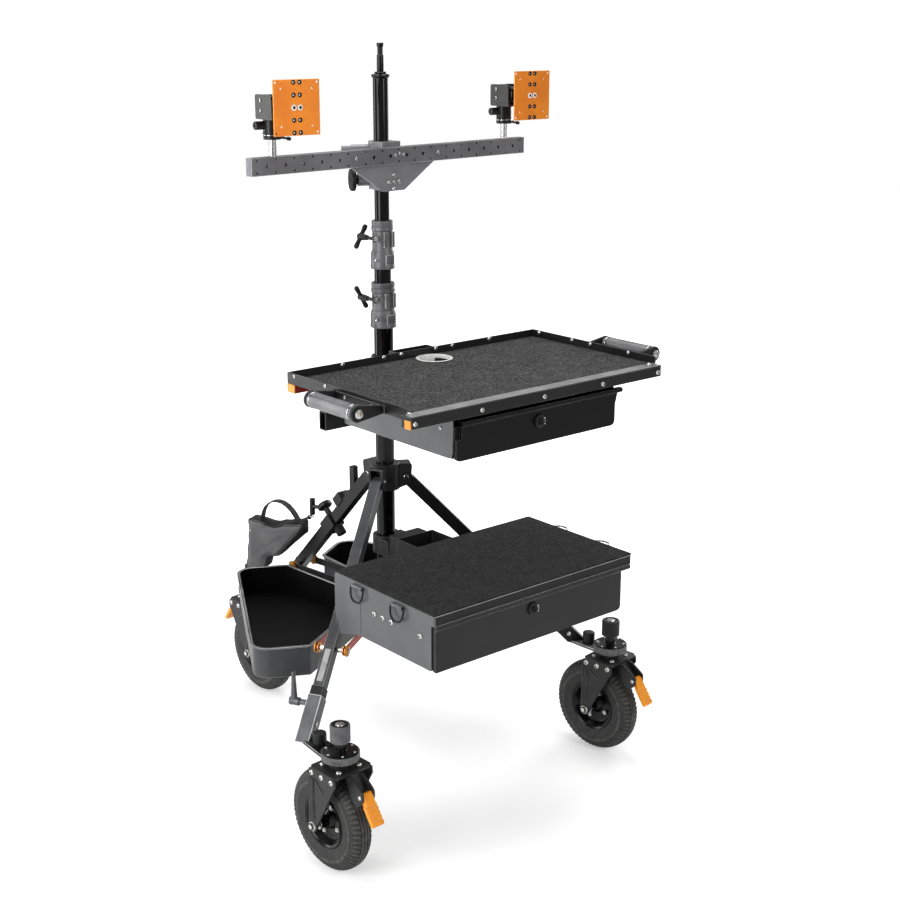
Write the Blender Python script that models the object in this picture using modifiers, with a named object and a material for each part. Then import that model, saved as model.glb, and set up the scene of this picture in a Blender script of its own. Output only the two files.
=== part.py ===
# Camera cart: three-legged rolling stand with a telescopic mast, a drilled cross bar,
# two monitor plates, a felt-lined work tray, two drawer boxes, two leg bins and a bag.
# All sizes are in metres. Mast axis at X = Y = 0 of the working frame, floor at Z = 0,
# trays open towards -Y, their long side runs along X.
import math

import bmesh
import bpy
from mathutils import Matrix, Vector

# Clearances
GAP = 0.0003
RUN = 0.00008

# Place of the mast axis, so that the middle of the whole cart's floor box is the origin
MAST_X = -0.00896
MAST_Y = -0.0680

# Mast tubes
TUBE_WALL = 0.0025
TOP_TUBE_R = 0.0175
MIDDLE_TUBE_R = TOP_TUBE_R + TUBE_WALL
LOWER_TUBE_R = MIDDLE_TUBE_R + TUBE_WALL
LOWER_TUBE_BOTTOM = 0.415
LOWER_TUBE_TOP = 1.128
MIDDLE_TUBE_BOTTOM = 0.800
MIDDLE_TUBE_TOP = 1.266
TOP_TUBE_BOTTOM = 0.900
TOP_TUBE_TOP = 1.6754
SPIGOT_L = 0.0772
SPIGOT_TOP = TOP_TUBE_TOP + SPIGOT_L
SPIGOT_R = 0.0078
SPIGOT_NECK_R = 0.0062
SPIGOT_COLLAR_R = 0.021
SPIGOT_FLANGE_R = 0.0135

# Mast clamps
CLAMP_WALL = 0.0075
CLAMP_EAR_W = 0.030
CLAMP_EAR_OUT = 0.037
LOWER_CLAMP_Z = 1.107
UPPER_CLAMP_Z = 1.2455
CLAMP_H = 0.106
UPPER_CLAMP_H = 0.1115
TEE_STUD_R = 0.004
TEE_HUB_R = 0.0075
TEE_BAR_R = 0.0056
TEE_BAR_L = 0.062
TEE_LEAN = math.radians(31)

# Cross bar
BAR_YAW = math.radians(4.62)
BAR_FRONT = -0.062
BAR_T = 0.020
BAR_LEFT = -0.417
BAR_L = 0.830
BAR_Z = 1.508
BAR_H = 0.038
BAR_PITCH = 0.050
BAR_END_MARGIN = 0.015
BAR_ROW = 0.013
BAR_SMALL_R = 0.0026
BAR_LARGE_R = 0.0042
BAR_SCREW_R = 0.0062
BRACKET_HALF_TOP = 0.130
BRACKET_HALF_FOOT = 0.033
BRACKET_FOOT_Z = 1.427
BRACKET_T = 0.005
BRACKET_CLAMP_R = 0.030
BAR_KNOB_R = 0.026
BAR_KNOB_T = 0.013
BAR_KNOB_AZ = math.radians(155)

# Posts, monitor heads and plates
POST_R = 0.008
POST_ALONG = 0.352
POST_MID = -0.001
POST_TOP = 1.600
HEAD_BARREL_R = 0.0185
HEAD_BARREL_Z = 1.562
HEAD_FLANGE_Z = 1.604
HEAD_FLANGE_T = 0.004
HEAD_TOP_Z = 1.654
HEAD_HALF_W = 0.028
HEAD_CHEEK = 0.008
HEAD_BACK = 0.018
TILT_Y = -0.030
TILT_Z = 1.631
TILT_HUB_R = 0.019
TILT_PIN_R = 0.005
PLATE_SIDE = 0.112
PLATE_T = 0.003
PLATE_FRONT = -0.098
PLATE_OUTER_HOLE = 0.050
PLATE_INNER_HOLE = 0.0375
PLATE_ROW = 0.025
PLATE_PAIR = 0.0075
PLATE_HOLE_R = 0.0026
PLATE_PAIR_R = 0.0034
LEFT_HEAD_YAW = math.radians(-1.4)
RIGHT_HEAD_YAW = math.radians(0.0)

# Work tray
TRAY_HALF_W = 0.3607
TRAY_BACK = -0.1287
TRAY_RAIL_FRONT = -0.5521
RAIL_DEPTH = 0.029
RAIL_Z = 1.0325
RAIL_H = 0.0255
RIM_T = 0.003
RIM_Z = 1.0500
RIM_TOP = 1.0744
RIM_FRONT_STOP = 0.018
PAN_T = 0.003
FELT_TOP = 1.0575
RAIL_SCREW_R = 0.0055
CUP_X = 0.012
CUP_Y = -0.174
CUP_R = 0.0395
CUP_WALL = 0.0015
CUP_DEPTH = 0.030
CUP_DRAIN_R = 0.008
REAR_RAIL_W = 0.028
REAR_RAIL_H = 0.019
CAP_T = 0.005
HANDLE_X = 0.426
HANDLE_Z = 1.060
HANDLE_R = 0.0165
HANDLE_BACK = -0.315
HANDLE_FRONT = -0.465
HANDLE_PLATE_T = 0.006
HANDLE_BOLT_R = 0.007

# Upper drawer unit
UP_HALF_W = 0.233
UP_FRONT = -0.5288
UP_BACK = -0.157
UP_BOTTOM = 0.9435
UP_SHEET = 0.003
UP_DRAWER_Z = 0.9386
UP_DRAWER_H = 0.0714
UP_LIP_H = 0.0114
UP_LIP_LEFT = -0.215
UP_LIP_RIGHT = 0.2487
DRAWER_FRONT_T = 0.0082
DRAWER_WALL = 0.002
DRAWER_TRAVEL = 0.30
NOTCH_W = 0.015
NOTCH_H = 0.026
LATCH_R = 0.015
LATCH_STEM_R = 0.005
UP_LATCH_X = 0.0
UP_LATCH_Z = 0.987
CROSS_TUBE_HALF = 0.260
CROSS_TUBE_Z = 0.923
CROSS_TUBE_H = 0.043
CROSS_TUBE_Y = -0.125
CROSS_TUBE_D = 0.025
TRAY_YOKE_HALF = 0.0555
YOKE_T = 0.0025
TRAY_COLLAR_Z = 0.990
TRAY_COLLAR_H = 0.049

# Lower box
LID_HALF_W = 0.2939
LID_FRONT = -0.5435
LID_BACK = -0.195
LID_TOP = 0.6196
LID_H = 0.0229
CARPET_T = 0.003
BOX_SHEET = 0.0025
BOX_RIGHT = 0.264
BOX_BOTTOM = 0.4945
BOX_TAIL_Z = 0.477
BOX_REAR_Z = 0.521
LOW_DRAWER_Z = 0.4927
LOW_LIP_Z = 0.586
LOW_LIP_H = 0.0107
LOW_FRONT_RIGHT = 0.2617
LOW_LATCH_X = -0.0156
LOW_LATCH_Z = 0.5675
BOX_SCREW_R = 0.0035
RING_Y_BACK = -0.283
RING_Y_FRONT = -0.425
RING_Z = 0.609
RING_WIRE_R = 0.0025
RING_HALF = 0.022
RING_REACH = 0.034
CLIP_R = 0.0045
CLIP_SHORT = 0.004
BOX_YOKE_BACK = -0.115
BOX_COLLAR_Z = 0.548
BOX_COLLAR_H = 0.044
BOX_KNOB_R = 0.014

# Legs
HUB_Z = 0.710
HUB_H = 0.064
HUB_R = 0.036
LEG_PIVOT_R = 0.0476
LEG_PIVOT_Z = 0.7386
LEG_SLOPE = math.atan(1.058)
LEG_W = 0.025
LEG_D = 0.028
LEG_WALL = 0.0025
LEG_FOOT_S = 0.636
LEG_FOOT_CLEAR = 0.046
LEG_SLEEVE_L = 0.091
LEG_UPPER_L = LEG_FOOT_S - LEG_FOOT_CLEAR
LEG_SLEEVE_S = LEG_FOOT_S - LEG_SLEEVE_L
LEG_LEVER_UP = 0.017
SLEEVE_W = 0.033
SLEEVE_D = 0.036
LEG_AZ = {"left": math.radians(-149.5), "right": math.radians(-29.5), "back": math.radians(93)}
LEG_PIN_R = 0.005
LUG_T = 0.005
RATCHET_SIDE = {"left": -1, "right": 1, "back": -1}

# Braces
BRACE_Z_IN = 0.440
BRACE_Z_OUT = 0.424
BRACE_R_OUT = 0.337
BRACE_OFF = 0.034
BRACE_T = 0.004
BRACE_W = 0.018
BRACE_DISC_R = 0.046
BRACE_DISC_H = 0.020
BRACE_BOLT_R = 0.005
BRACE_RING_R = 0.013

# Bins
BIN_AZ = {"left": math.radians(151.5), "back": math.radians(31.5)}
BIN_OUT = 0.355
BIN_HALF = 0.270
BIN_CORNER = 0.2185
BIN_NOSE = 0.075
BIN_NOSE_HALF = 0.051
BIN_RIM_Z = 0.4285
BIN_DEPTH = 0.075
BIN_WALL = 0.0025
BIN_RIM = 0.005
BIN_CORNER_R = 0.045
BIN_TAB_R = 0.120
BIN_TAB_L = 0.018
BIN_TAB_H = 0.008

# Casters
CASTER_AT = {
    "left": (-0.4197, -0.3778, math.radians(-87)),
    "right": (0.4398, -0.3472, math.radians(-83)),
    "back": (-0.0306, 0.5669, math.radians(92.8)),
}
WHEEL_R = 0.118
WHEEL_W = 0.057
WHEEL_TRAIL = 0.035
AXLE_R = 0.006
AXLE_HALF = 0.060
FORK_TOP = 0.260
FORK_PLATE_T = 0.006
FORK_PLATE_L = 0.089
FORK_HALF_W = 0.053
FORK_SIDE_T = 0.005
FORK_FOOT_R = 0.014
ARM_Z = 0.270
ARM_T = 0.007
ARM_HALF_W = 0.019
DISC_R = 0.042
DISC_H = 0.018
KNOB_R = 0.0225
KNOB_Z = 0.316
KNOB_H = 0.040
KINGPIN_R = 0.008
BRAKE_X = 0.084
BRAKE_Z = 0.220
BRAKE_HALF_W = 0.0125
BRAKE_CHEEK = 0.0045
BRAKE_PAD_HALF = 0.0155
BRAKE_PIN_R = 0.003

# Clean start: remove the objects of the opened scene and make the two collections
for old in list(bpy.data.objects):
    bpy.data.objects.remove(old, do_unlink=True)
CART = bpy.data.collections.new("camera_cart")
CUTTERS = bpy.data.collections.new("cutters")
bpy.context.scene.collection.children.link(CART)
bpy.context.scene.collection.children.link(CUTTERS)

ROOT = bpy.data.objects.new("mast_frame", None)
ROOT.location = (MAST_X, MAST_Y, 0.0)
CART.objects.link(ROOT)


# Shapes as bmesh
def block(x0, x1, y0, y1, z0, z1, radius=0.0, along=None, segments=1):
    """Box from its six faces, its edges rounded, all or only those along one axis."""
    bm = bmesh.new()
    bmesh.ops.create_cube(bm, size=1.0)
    low = Vector((min(x0, x1), min(y0, y1), min(z0, z1)))
    high = Vector((max(x0, x1), max(y0, y1), max(z0, z1)))
    for v in bm.verts:
        v.co = Vector([low[i] if v.co[i] < 0 else high[i] for i in range(3)])
    if radius > 0:
        edges = list(bm.edges)
        if along is not None:
            k = "xyz".index(along)
            edges = [e for e in bm.edges if abs((e.verts[0].co - e.verts[1].co)[k]) > 1e-9]
        bmesh.ops.bevel(bm, geom=edges, offset=radius, segments=segments, profile=0.5, affect="EDGES")
    return bm


def bore(shaft_r, sides):
    """Radius of a hole with so many flat sides in which a round shaft of this radius turns freely."""
    return (shaft_r + RUN) / math.cos(math.pi / sides)


def frame(origin, z_axis, x_hint=(1, 0, 0)):
    """Matrix with its Z along z_axis and its X near x_hint."""
    z = Vector(z_axis).normalized()
    x = Vector(x_hint) - z * Vector(x_hint).dot(z)
    if x.length < 1e-6:
        x = z.orthogonal()
    x.normalize()
    y = z.cross(x)
    m = Matrix((x, y, z)).transposed().to_4x4()
    m.translation = Vector(origin)
    return m


def baked(obj):
    """Mesh of a helper object with its modifiers or curve settings; the helper is removed."""
    CART.objects.link(obj)
    deps = bpy.context.evaluated_depsgraph_get()
    made = bpy.data.meshes.new_from_object(obj.evaluated_get(deps))
    bm = bmesh.new()
    bm.from_mesh(made)
    bmesh.ops.remove_doubles(bm, verts=bm.verts, dist=0.000001)
    bmesh.ops.recalc_face_normals(bm, faces=bm.faces)
    bpy.data.meshes.remove(made)
    bpy.data.objects.remove(obj, do_unlink=True)
    return bm


def lathe(profile, sides=20, matrix=None):
    """Turned body: (radius, height) points with a Screw modifier round Z."""
    me = bpy.data.meshes.new("profile")
    count = len(profile)
    edges = [(i, i + 1) for i in range(count - 1)]
    if profile[0][0] > 1e-7 and profile[-1][0] > 1e-7:
        edges.append((count - 1, 0))
    me.from_pydata([(r, 0.0, z) for r, z in profile], edges, [])
    obj = bpy.data.objects.new("profile", me)
    screw = obj.modifiers.new("turn", "SCREW")
    screw.axis = "Z"
    screw.angle = 2 * math.pi
    screw.steps = sides
    screw.render_steps = sides
    screw.use_merge_vertices = True
    screw.merge_threshold = 0.00001
    bm = baked(obj)
    return bm if matrix is None else moved(bm, matrix)


def rod(a, b, radius, sides=12, radius_b=None, chamfer=0.0):
    """Cylinder or cone between two points, its ends broken by a chamfer."""
    a = Vector(a)
    b = Vector(b)
    length = (b - a).length
    end = radius if radius_b is None else radius_b
    bm = bmesh.new()
    bmesh.ops.create_cone(bm, cap_ends=True, cap_tris=False, segments=sides, radius1=radius, radius2=end,
                          depth=length)
    if chamfer > 0:
        rims = [e for e in bm.edges if abs(e.verts[0].co.z - e.verts[1].co.z) < 1e-7]
        bmesh.ops.bevel(bm, geom=rims, offset=chamfer, segments=1, profile=0.5, affect="EDGES")
    return moved(bm, frame(a, b - a) @ Matrix.Translation((0, 0, length / 2)))


def pipe(a, b, outer, inner, sides=20):
    """Tube between two points, open at both ends."""
    a = Vector(a)
    b = Vector(b)
    length = (b - a).length
    return lathe([(inner, 0), (inner, length), (outer, length), (outer, 0)], sides, frame(a, b - a))


def moved(bm, matrix):
    bmesh.ops.transform(bm, matrix=matrix, verts=bm.verts)
    return bm


def dome(at, normal, radius, height, sides=8):
    """Low screw head that starts a little inside the face it sits on."""
    way = Vector(normal).normalized()
    base = Vector(at) - way * 0.0006
    return rod(base, Vector(at) + way * height, radius, sides, radius_b=radius * 0.62)


def fillet(points, radii, segments=2):
    """Round the corners of a flat outline."""
    out = []
    n = len(points)
    for i, p in enumerate(points):
        r = radii[i] if isinstance(radii, (list, tuple)) else radii
        p = Vector(p)
        a = Vector(points[i - 1]) - p
        b = Vector(points[(i + 1) % n]) - p
        if r <= 0:
            out.append((p.x, p.y))
            continue
        half = a.angle(b) / 2
        cut = min(r / math.tan(half), a.length * 0.49, b.length * 0.49)
        true_r = cut * math.tan(half)
        centre = p + (a.normalized() + b.normalized()).normalized() * (true_r / math.sin(half))
        start = p + a.normalized() * cut - centre
        stop = p + b.normalized() * cut - centre
        sweep = start.angle_signed(stop)
        for k in range(segments + 1):
            turn = -sweep * k / segments
            c, s = math.cos(turn), math.sin(turn)
            out.append((centre.x + start.x * c - start.y * s, centre.y + start.x * s + start.y * c))
    return out


def slab(points, thickness, matrix=None):
    """Flat outline in XY pushed up by its thickness: a filled 2D curve, extruded."""
    curve = bpy.data.curves.new("outline", "CURVE")
    curve.dimensions = "2D"
    curve.fill_mode = "BOTH"
    curve.extrude = thickness / 2
    line = curve.splines.new("POLY")
    line.points.add(len(points) - 1)
    for knot, p in zip(line.points, points):
        knot.co = (p[0], p[1], 0, 1)
    line.use_cyclic_u = True
    bm = baked(bpy.data.objects.new("outline", curve))
    bmesh.ops.dissolve_limit(bm, angle_limit=0.001, verts=bm.verts, edges=bm.edges)
    lift = Matrix.Translation((0, 0, thickness / 2))
    return moved(bm, lift if matrix is None else matrix @ lift)


def swept(points, radius, closed=False):
    """Round wire along a path: a curve with a bevel depth and filled caps."""
    curve = bpy.data.curves.new("wire", "CURVE")
    curve.dimensions = "3D"
    curve.bevel_depth = radius
    curve.bevel_resolution = 1
    curve.use_fill_caps = True
    line = curve.splines.new("POLY")
    line.points.add(len(points) - 1)
    for knot, p in zip(line.points, points):
        knot.co = (p[0], p[1], p[2], 1)
    line.use_cyclic_u = closed
    return baked(bpy.data.objects.new("wire", curve))


def merged(*shapes):
    """Several closed shapes that don't touch, in one mesh."""
    out = bmesh.new()
    for bm in shapes:
        me = bpy.data.meshes.new("joined")
        bm.to_mesh(me)
        bm.free()
        out.from_mesh(me)
        bpy.data.meshes.remove(me)
    return out


# Objects
LOOKS = {
    "gloss_black": ((0.02, 0.02, 0.022), 0.25, 0.3),
    "matt_black": ((0.03, 0.03, 0.032), 0.55, 0.2),
    "anodised_grey": ((0.10, 0.10, 0.11), 0.45, 0.7),
    "cast_grey": ((0.20, 0.20, 0.20), 0.5, 0.5),
    "sheet_grey": ((0.22, 0.22, 0.22), 0.5, 0.4),
    "bright_steel": ((0.62, 0.62, 0.62), 0.25, 1.0),
    "orange": ((0.85, 0.27, 0.02), 0.35, 0.3),
    "red": ((0.45, 0.05, 0.03), 0.4, 0.5),
    "rubber": ((0.035, 0.035, 0.035), 0.8, 0.0),
    "felt": ((0.045, 0.045, 0.045), 0.95, 0.0),
    "cloth": ((0.14, 0.14, 0.14), 0.9, 0.0),
}


def node(name, bm, look, pivot=(0, 0, 0), smooth=False):
    """One piece of the cart, its origin on the pivot of its joint."""
    me = bpy.data.meshes.new(name)
    bmesh.ops.translate(bm, verts=bm.verts, vec=-Vector(pivot))
    bm.to_mesh(me)
    bm.free()
    obj = bpy.data.objects.new(name, me)
    CART.objects.link(obj)
    obj.parent = ROOT
    obj.location = pivot
    colour, rough, metal = LOOKS[look]
    mat = bpy.data.materials.new(name)
    mat.use_nodes = True
    shader = mat.node_tree.nodes["Principled BSDF"]
    shader.inputs["Base Color"].default_value = (*colour, 1.0)
    shader.inputs["Roughness"].default_value = rough
    shader.inputs["Metallic"].default_value = metal
    me.materials.append(mat)
    me.shade_smooth() if smooth else me.shade_flat()
    return obj


STEPS = []


def shape_tool(obj, bm, operation):
    me = bpy.data.meshes.new(obj.name + "_tool")
    bm.to_mesh(me)
    bm.free()
    tool = bpy.data.objects.new(obj.name + "_tool", me)
    CUTTERS.objects.link(tool)
    tool.parent = ROOT
    tool.hide_render = True
    tool.display_type = "WIRE"
    STEPS.append((obj, tool, operation))


def join(obj, *shapes):
    for bm in shapes:
        shape_tool(obj, bm, "UNION")


def cut(obj, *shapes):
    for bm in shapes:
        shape_tool(obj, bm, "DIFFERENCE")


def polar(az, r, off, z):
    """Point at radius r and side offset off of the leg or bin plane at azimuth az."""
    return Vector((r * math.cos(az) - off * math.sin(az), r * math.sin(az) + off * math.cos(az), z))


# Mast: three tubes that slide in each other, the top one ends in the camera spigot
lower = node("mast_tube_lower",
             pipe((0, 0, LOWER_TUBE_BOTTOM), (0, 0, LOWER_TUBE_TOP), LOWER_TUBE_R, MIDDLE_TUBE_R + RUN),
             "gloss_black", smooth=True)
middle = node("mast_tube_middle",
              pipe((0, 0, MIDDLE_TUBE_BOTTOM), (0, 0, MIDDLE_TUBE_TOP), MIDDLE_TUBE_R, TOP_TUBE_R + RUN),
              "gloss_black", smooth=True)
top_bore = TOP_TUBE_R - TUBE_WALL
top_profile = [
    (0, SPIGOT_TOP), (SPIGOT_R, SPIGOT_TOP - 0.0005), (SPIGOT_NECK_R, SPIGOT_TOP - 0.0082),
    (SPIGOT_NECK_R, SPIGOT_TOP - 0.0242), (SPIGOT_R, SPIGOT_TOP - 0.0272),
    (SPIGOT_R, TOP_TUBE_TOP + 0.0145), (SPIGOT_FLANGE_R, TOP_TUBE_TOP + 0.014),
    (SPIGOT_FLANGE_R, TOP_TUBE_TOP + 0.010), (SPIGOT_COLLAR_R, TOP_TUBE_TOP + 0.0085),
    (SPIGOT_COLLAR_R, TOP_TUBE_TOP + 0.0045), (TOP_TUBE_R, TOP_TUBE_TOP), (TOP_TUBE_R, TOP_TUBE_BOTTOM),
    (top_bore, TOP_TUBE_BOTTOM), (top_bore, TOP_TUBE_TOP - 0.012), (0, TOP_TUBE_TOP - 0.010),
]
node("mast_top", lathe(top_profile, 20), "gloss_black", smooth=True)


# Clamp casting at the head of a tube: turned shell, split ear, raised panel, lower screw
def mast_clamp(name, tube_r, next_r, z, height, tube_top):
    grip = next_r + RUN
    seat = tube_r + GAP
    outer = tube_r + CLAMP_WALL
    shell = [
        (grip, z + height), (next_r + CLAMP_WALL, z + height), (next_r + CLAMP_WALL, z + height - 0.009),
        (outer - 0.003, z + height - 0.012), (outer - 0.003, z + height * 0.34), (outer, z + height * 0.30),
        (outer, z), (seat, z), (seat, tube_top + GAP), (grip, tube_top + GAP),
    ]
    obj = node(name, lathe(shell, 20), "cast_grey", smooth=False)
    ear_low = z + height * 0.10
    ear_high = z + height * 0.93
    join(obj, block(-outer + 0.004, -CLAMP_EAR_OUT, -CLAMP_EAR_W / 2, CLAMP_EAR_W / 2, ear_low, ear_high,
                    radius=0.003, along="y"))
    front = -outer + 0.0035
    join(obj, block(-0.012, 0.012, front, front - 0.005, z + height * 0.08, z + height * 0.55,
                    radius=0.002, along="y"))
    join(obj, dome((-CLAMP_EAR_OUT + 0.006, -CLAMP_EAR_W / 2, z + height * 0.2), (0, -1, 0), 0.004, 0.003))
    slit_h = ear_high - ear_low
    cut(obj, block(-CLAMP_EAR_OUT - 0.001, -tube_r - 0.0012, -0.001, 0.001, ear_low - 0.001, ear_low + slit_h + 0.001))
    stud_x = -(outer + CLAMP_EAR_OUT) / 2 + 0.0005
    stud_z = z + height * 0.645
    cut(obj, rod((stud_x, -CLAMP_EAR_W, stud_z), (stud_x, CLAMP_EAR_W, stud_z), bore(TEE_STUD_R, 16), 16))
    return stud_x, stud_z


def tee_handle(name, x, z, lean):
    """Turned stud and hub with a cross bar, as a tightening handle."""
    start = CLAMP_EAR_W / 2
    pivot = (x, start, z)
    stud = [(0, 0.033 + start), (TEE_HUB_R - 0.001, 0.033 + start), (TEE_HUB_R, 0.032 + start),
            (TEE_HUB_R, start + 0.008), (TEE_HUB_R * 0.8, start + 0.006), (TEE_HUB_R * 0.8, start + GAP),
            (TEE_STUD_R, start + GAP), (TEE_STUD_R, -start + 0.002), (0, -start + 0.002)]
    obj = node(name, lathe(stud, 12, frame((x, 0, z), (0, 1, 0))), "matt_black", pivot)
    half = TEE_BAR_L / 2
    c = Vector((x, start + 0.026, z))
    d = Vector((math.sin(lean), 0, math.cos(lean)))
    r = TEE_BAR_R
    bar = [(0, half), (r * 0.7, half - r * 0.25), (r, half - r), (r * 0.85, 0), (r, r - half),
           (r * 0.7, r * 0.25 - half), (0, -half)]
    join(obj, lathe(bar, 8, frame(c, d)))
    return pivot


low_x, low_z = mast_clamp("mast_clamp_lower", LOWER_TUBE_R, MIDDLE_TUBE_R, LOWER_CLAMP_Z, CLAMP_H, LOWER_TUBE_TOP)
up_x, up_z = mast_clamp("mast_clamp_upper", MIDDLE_TUBE_R, TOP_TUBE_R, UPPER_CLAMP_Z, UPPER_CLAMP_H,
                        MIDDLE_TUBE_TOP)
PIVOTS = {}
PIVOTS["tee_lower"] = tee_handle("tee_handle_lower", low_x, low_z, -TEE_LEAN)
PIVOTS["tee_upper"] = tee_handle("tee_handle_upper", up_x, up_z, TEE_LEAN)


# Cross bar: frame with X along the bar, Y to its back, origin on the mast axis
BAR_FRAME = Matrix.Rotation(BAR_YAW, 4, "Z") @ Matrix.Translation((0, 0, BAR_Z))
bar_left = BAR_LEFT
bar_right = BAR_LEFT + BAR_L
bar = node("crossbar", moved(block(bar_left, bar_right, BAR_FRONT, BAR_FRONT + BAR_T, -BAR_H / 2, BAR_H / 2,
                                   radius=0.002, along="x", segments=1), BAR_FRAME), "anodised_grey")
holes = []
small_count = int((BAR_L - 2 * BAR_END_MARGIN) / BAR_PITCH + 1.001)
first = bar_left + BAR_END_MARGIN
for i in range(small_count):
    for row in (-BAR_ROW, BAR_ROW):
        x = first + i * BAR_PITCH
        holes.append(rod((x, BAR_FRONT - 0.001, row), (x, BAR_FRONT + BAR_T + 0.001, row), BAR_SMALL_R, 6))
for i in range(small_count - 1):
    x = first + (i + 0.5) * BAR_PITCH
    holes.append(rod((x, BAR_FRONT - 0.001, 0), (x, BAR_FRONT + BAR_T + 0.001, 0), BAR_LARGE_R, 6))
post_mid = BAR_FRONT + BAR_T / 2
cut(bar, moved(merged(*holes), BAR_FRAME))
post_x = (POST_MID - POST_ALONG, POST_MID + POST_ALONG)
cut(bar, moved(merged(*[rod((x, post_mid, -BAR_H / 2 + 0.006), (x, post_mid, BAR_H / 2 + 0.001), POST_R + GAP, 16)
                        for x in post_x]), BAR_FRAME))
screw_at = [(-0.130, 0.0), (0.120, 0.0), (-0.017, 0.004), (-0.001, -0.004), (0.012, 0.005)]
join(bar, moved(merged(*[dome((x, BAR_FRONT, z), (0, -1, 0), BAR_SCREW_R, 0.004) for x, z in screw_at]), BAR_FRAME))

# Bracket behind the bar: tapered plate, two clamp rings round the mast, blocks between
back = BAR_FRONT + BAR_T + GAP
foot = BRACKET_FOOT_Z - BAR_Z
outline = [(-BRACKET_HALF_TOP, -BAR_H / 2), (-BRACKET_HALF_FOOT, foot), (BRACKET_HALF_FOOT, foot),
           (BRACKET_HALF_TOP, -BAR_H / 2), (BRACKET_HALF_TOP, BAR_H / 2 - 0.002),
           (-BRACKET_HALF_TOP, BAR_H / 2 - 0.002)]
plate_frame = BAR_FRAME @ frame((0, back + BRACKET_T, 0), (0, -1, 0))
bracket = node("bar_bracket", slab(fillet(outline, [0.006, 0.010, 0.010, 0.006, 0.004, 0.004]), BRACKET_T,
                                   plate_frame), "matt_black")
for z0, z1 in ((foot + 0.002, foot + 0.050), (-0.008, 0.029)):
    join(bracket, moved(block(-0.028, 0.028, back + BRACKET_T - 0.001, 0.0, z0, z1, radius=0.004, along="z"),
                        BAR_FRAME))
    join(bracket, moved(rod((0, 0, z0), (0, 0, z1), BRACKET_CLAMP_R, 18), BAR_FRAME))
stud_dir = Vector((math.cos(BAR_KNOB_AZ), math.sin(BAR_KNOB_AZ), 0))
knob_z = BAR_Z + foot + 0.024
boss_end = stud_dir * (BRACKET_CLAMP_R + 0.026) + Vector((0, 0, knob_z))
join(bracket, rod(stud_dir * (TOP_TUBE_R + 0.004) + Vector((0, 0, knob_z)), boss_end, 0.015, 14))
arm_z = BAR_Z + 0.012
arm_end = stud_dir * (BRACKET_CLAMP_R + 0.040) + Vector((0, 0, arm_z))
join(bracket, rod(stud_dir * (TOP_TUBE_R + 0.004) + Vector((0, 0, arm_z)), arm_end, 0.010, 12))
join(bracket, rod(arm_end - stud_dir * 0.002, arm_end + stud_dir * 0.022, 0.0075, 10))
cut(bracket, rod((0, 0, BAR_Z - 0.2), (0, 0, BAR_Z + 0.1), bore(TOP_TUBE_R, 30), 30))
cut(bracket, rod(stud_dir * TOP_TUBE_R + Vector((0, 0, knob_z)), boss_end + stud_dir * 0.002, bore(0.004, 16), 16))
cross = [(0, 0)] + [(0.0155 * math.cos(a), 0.0155 * math.sin(a)) for a in (0, math.pi / 2, math.pi, 3 * math.pi / 2)]
cross_z = BRACKET_FOOT_Z - BAR_Z + 0.021
join(bracket, moved(merged(*[dome((x, back, cross_z + z), (0, -1, 0), 0.0045, 0.0025) for x, z in cross]),
                    BAR_FRAME))
knob_start = boss_end + stud_dir * GAP
neck = 0.006
knob_profile = [(0, neck + BAR_KNOB_T), (BAR_KNOB_R - 0.003, neck + BAR_KNOB_T), (BAR_KNOB_R, neck + BAR_KNOB_T - 0.003),
                (BAR_KNOB_R, neck), (0.011, neck), (0.011, 0), (0.004, 0), (0.004, -0.030), (0, -0.030)]
node("bar_knob", lathe(knob_profile, 16, frame(knob_start, stud_dir)), "matt_black", knob_start)
PIVOTS["bar_knob"] = tuple(knob_start)
PIVOTS["bar_knob_axis"] = tuple(stud_dir)


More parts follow.
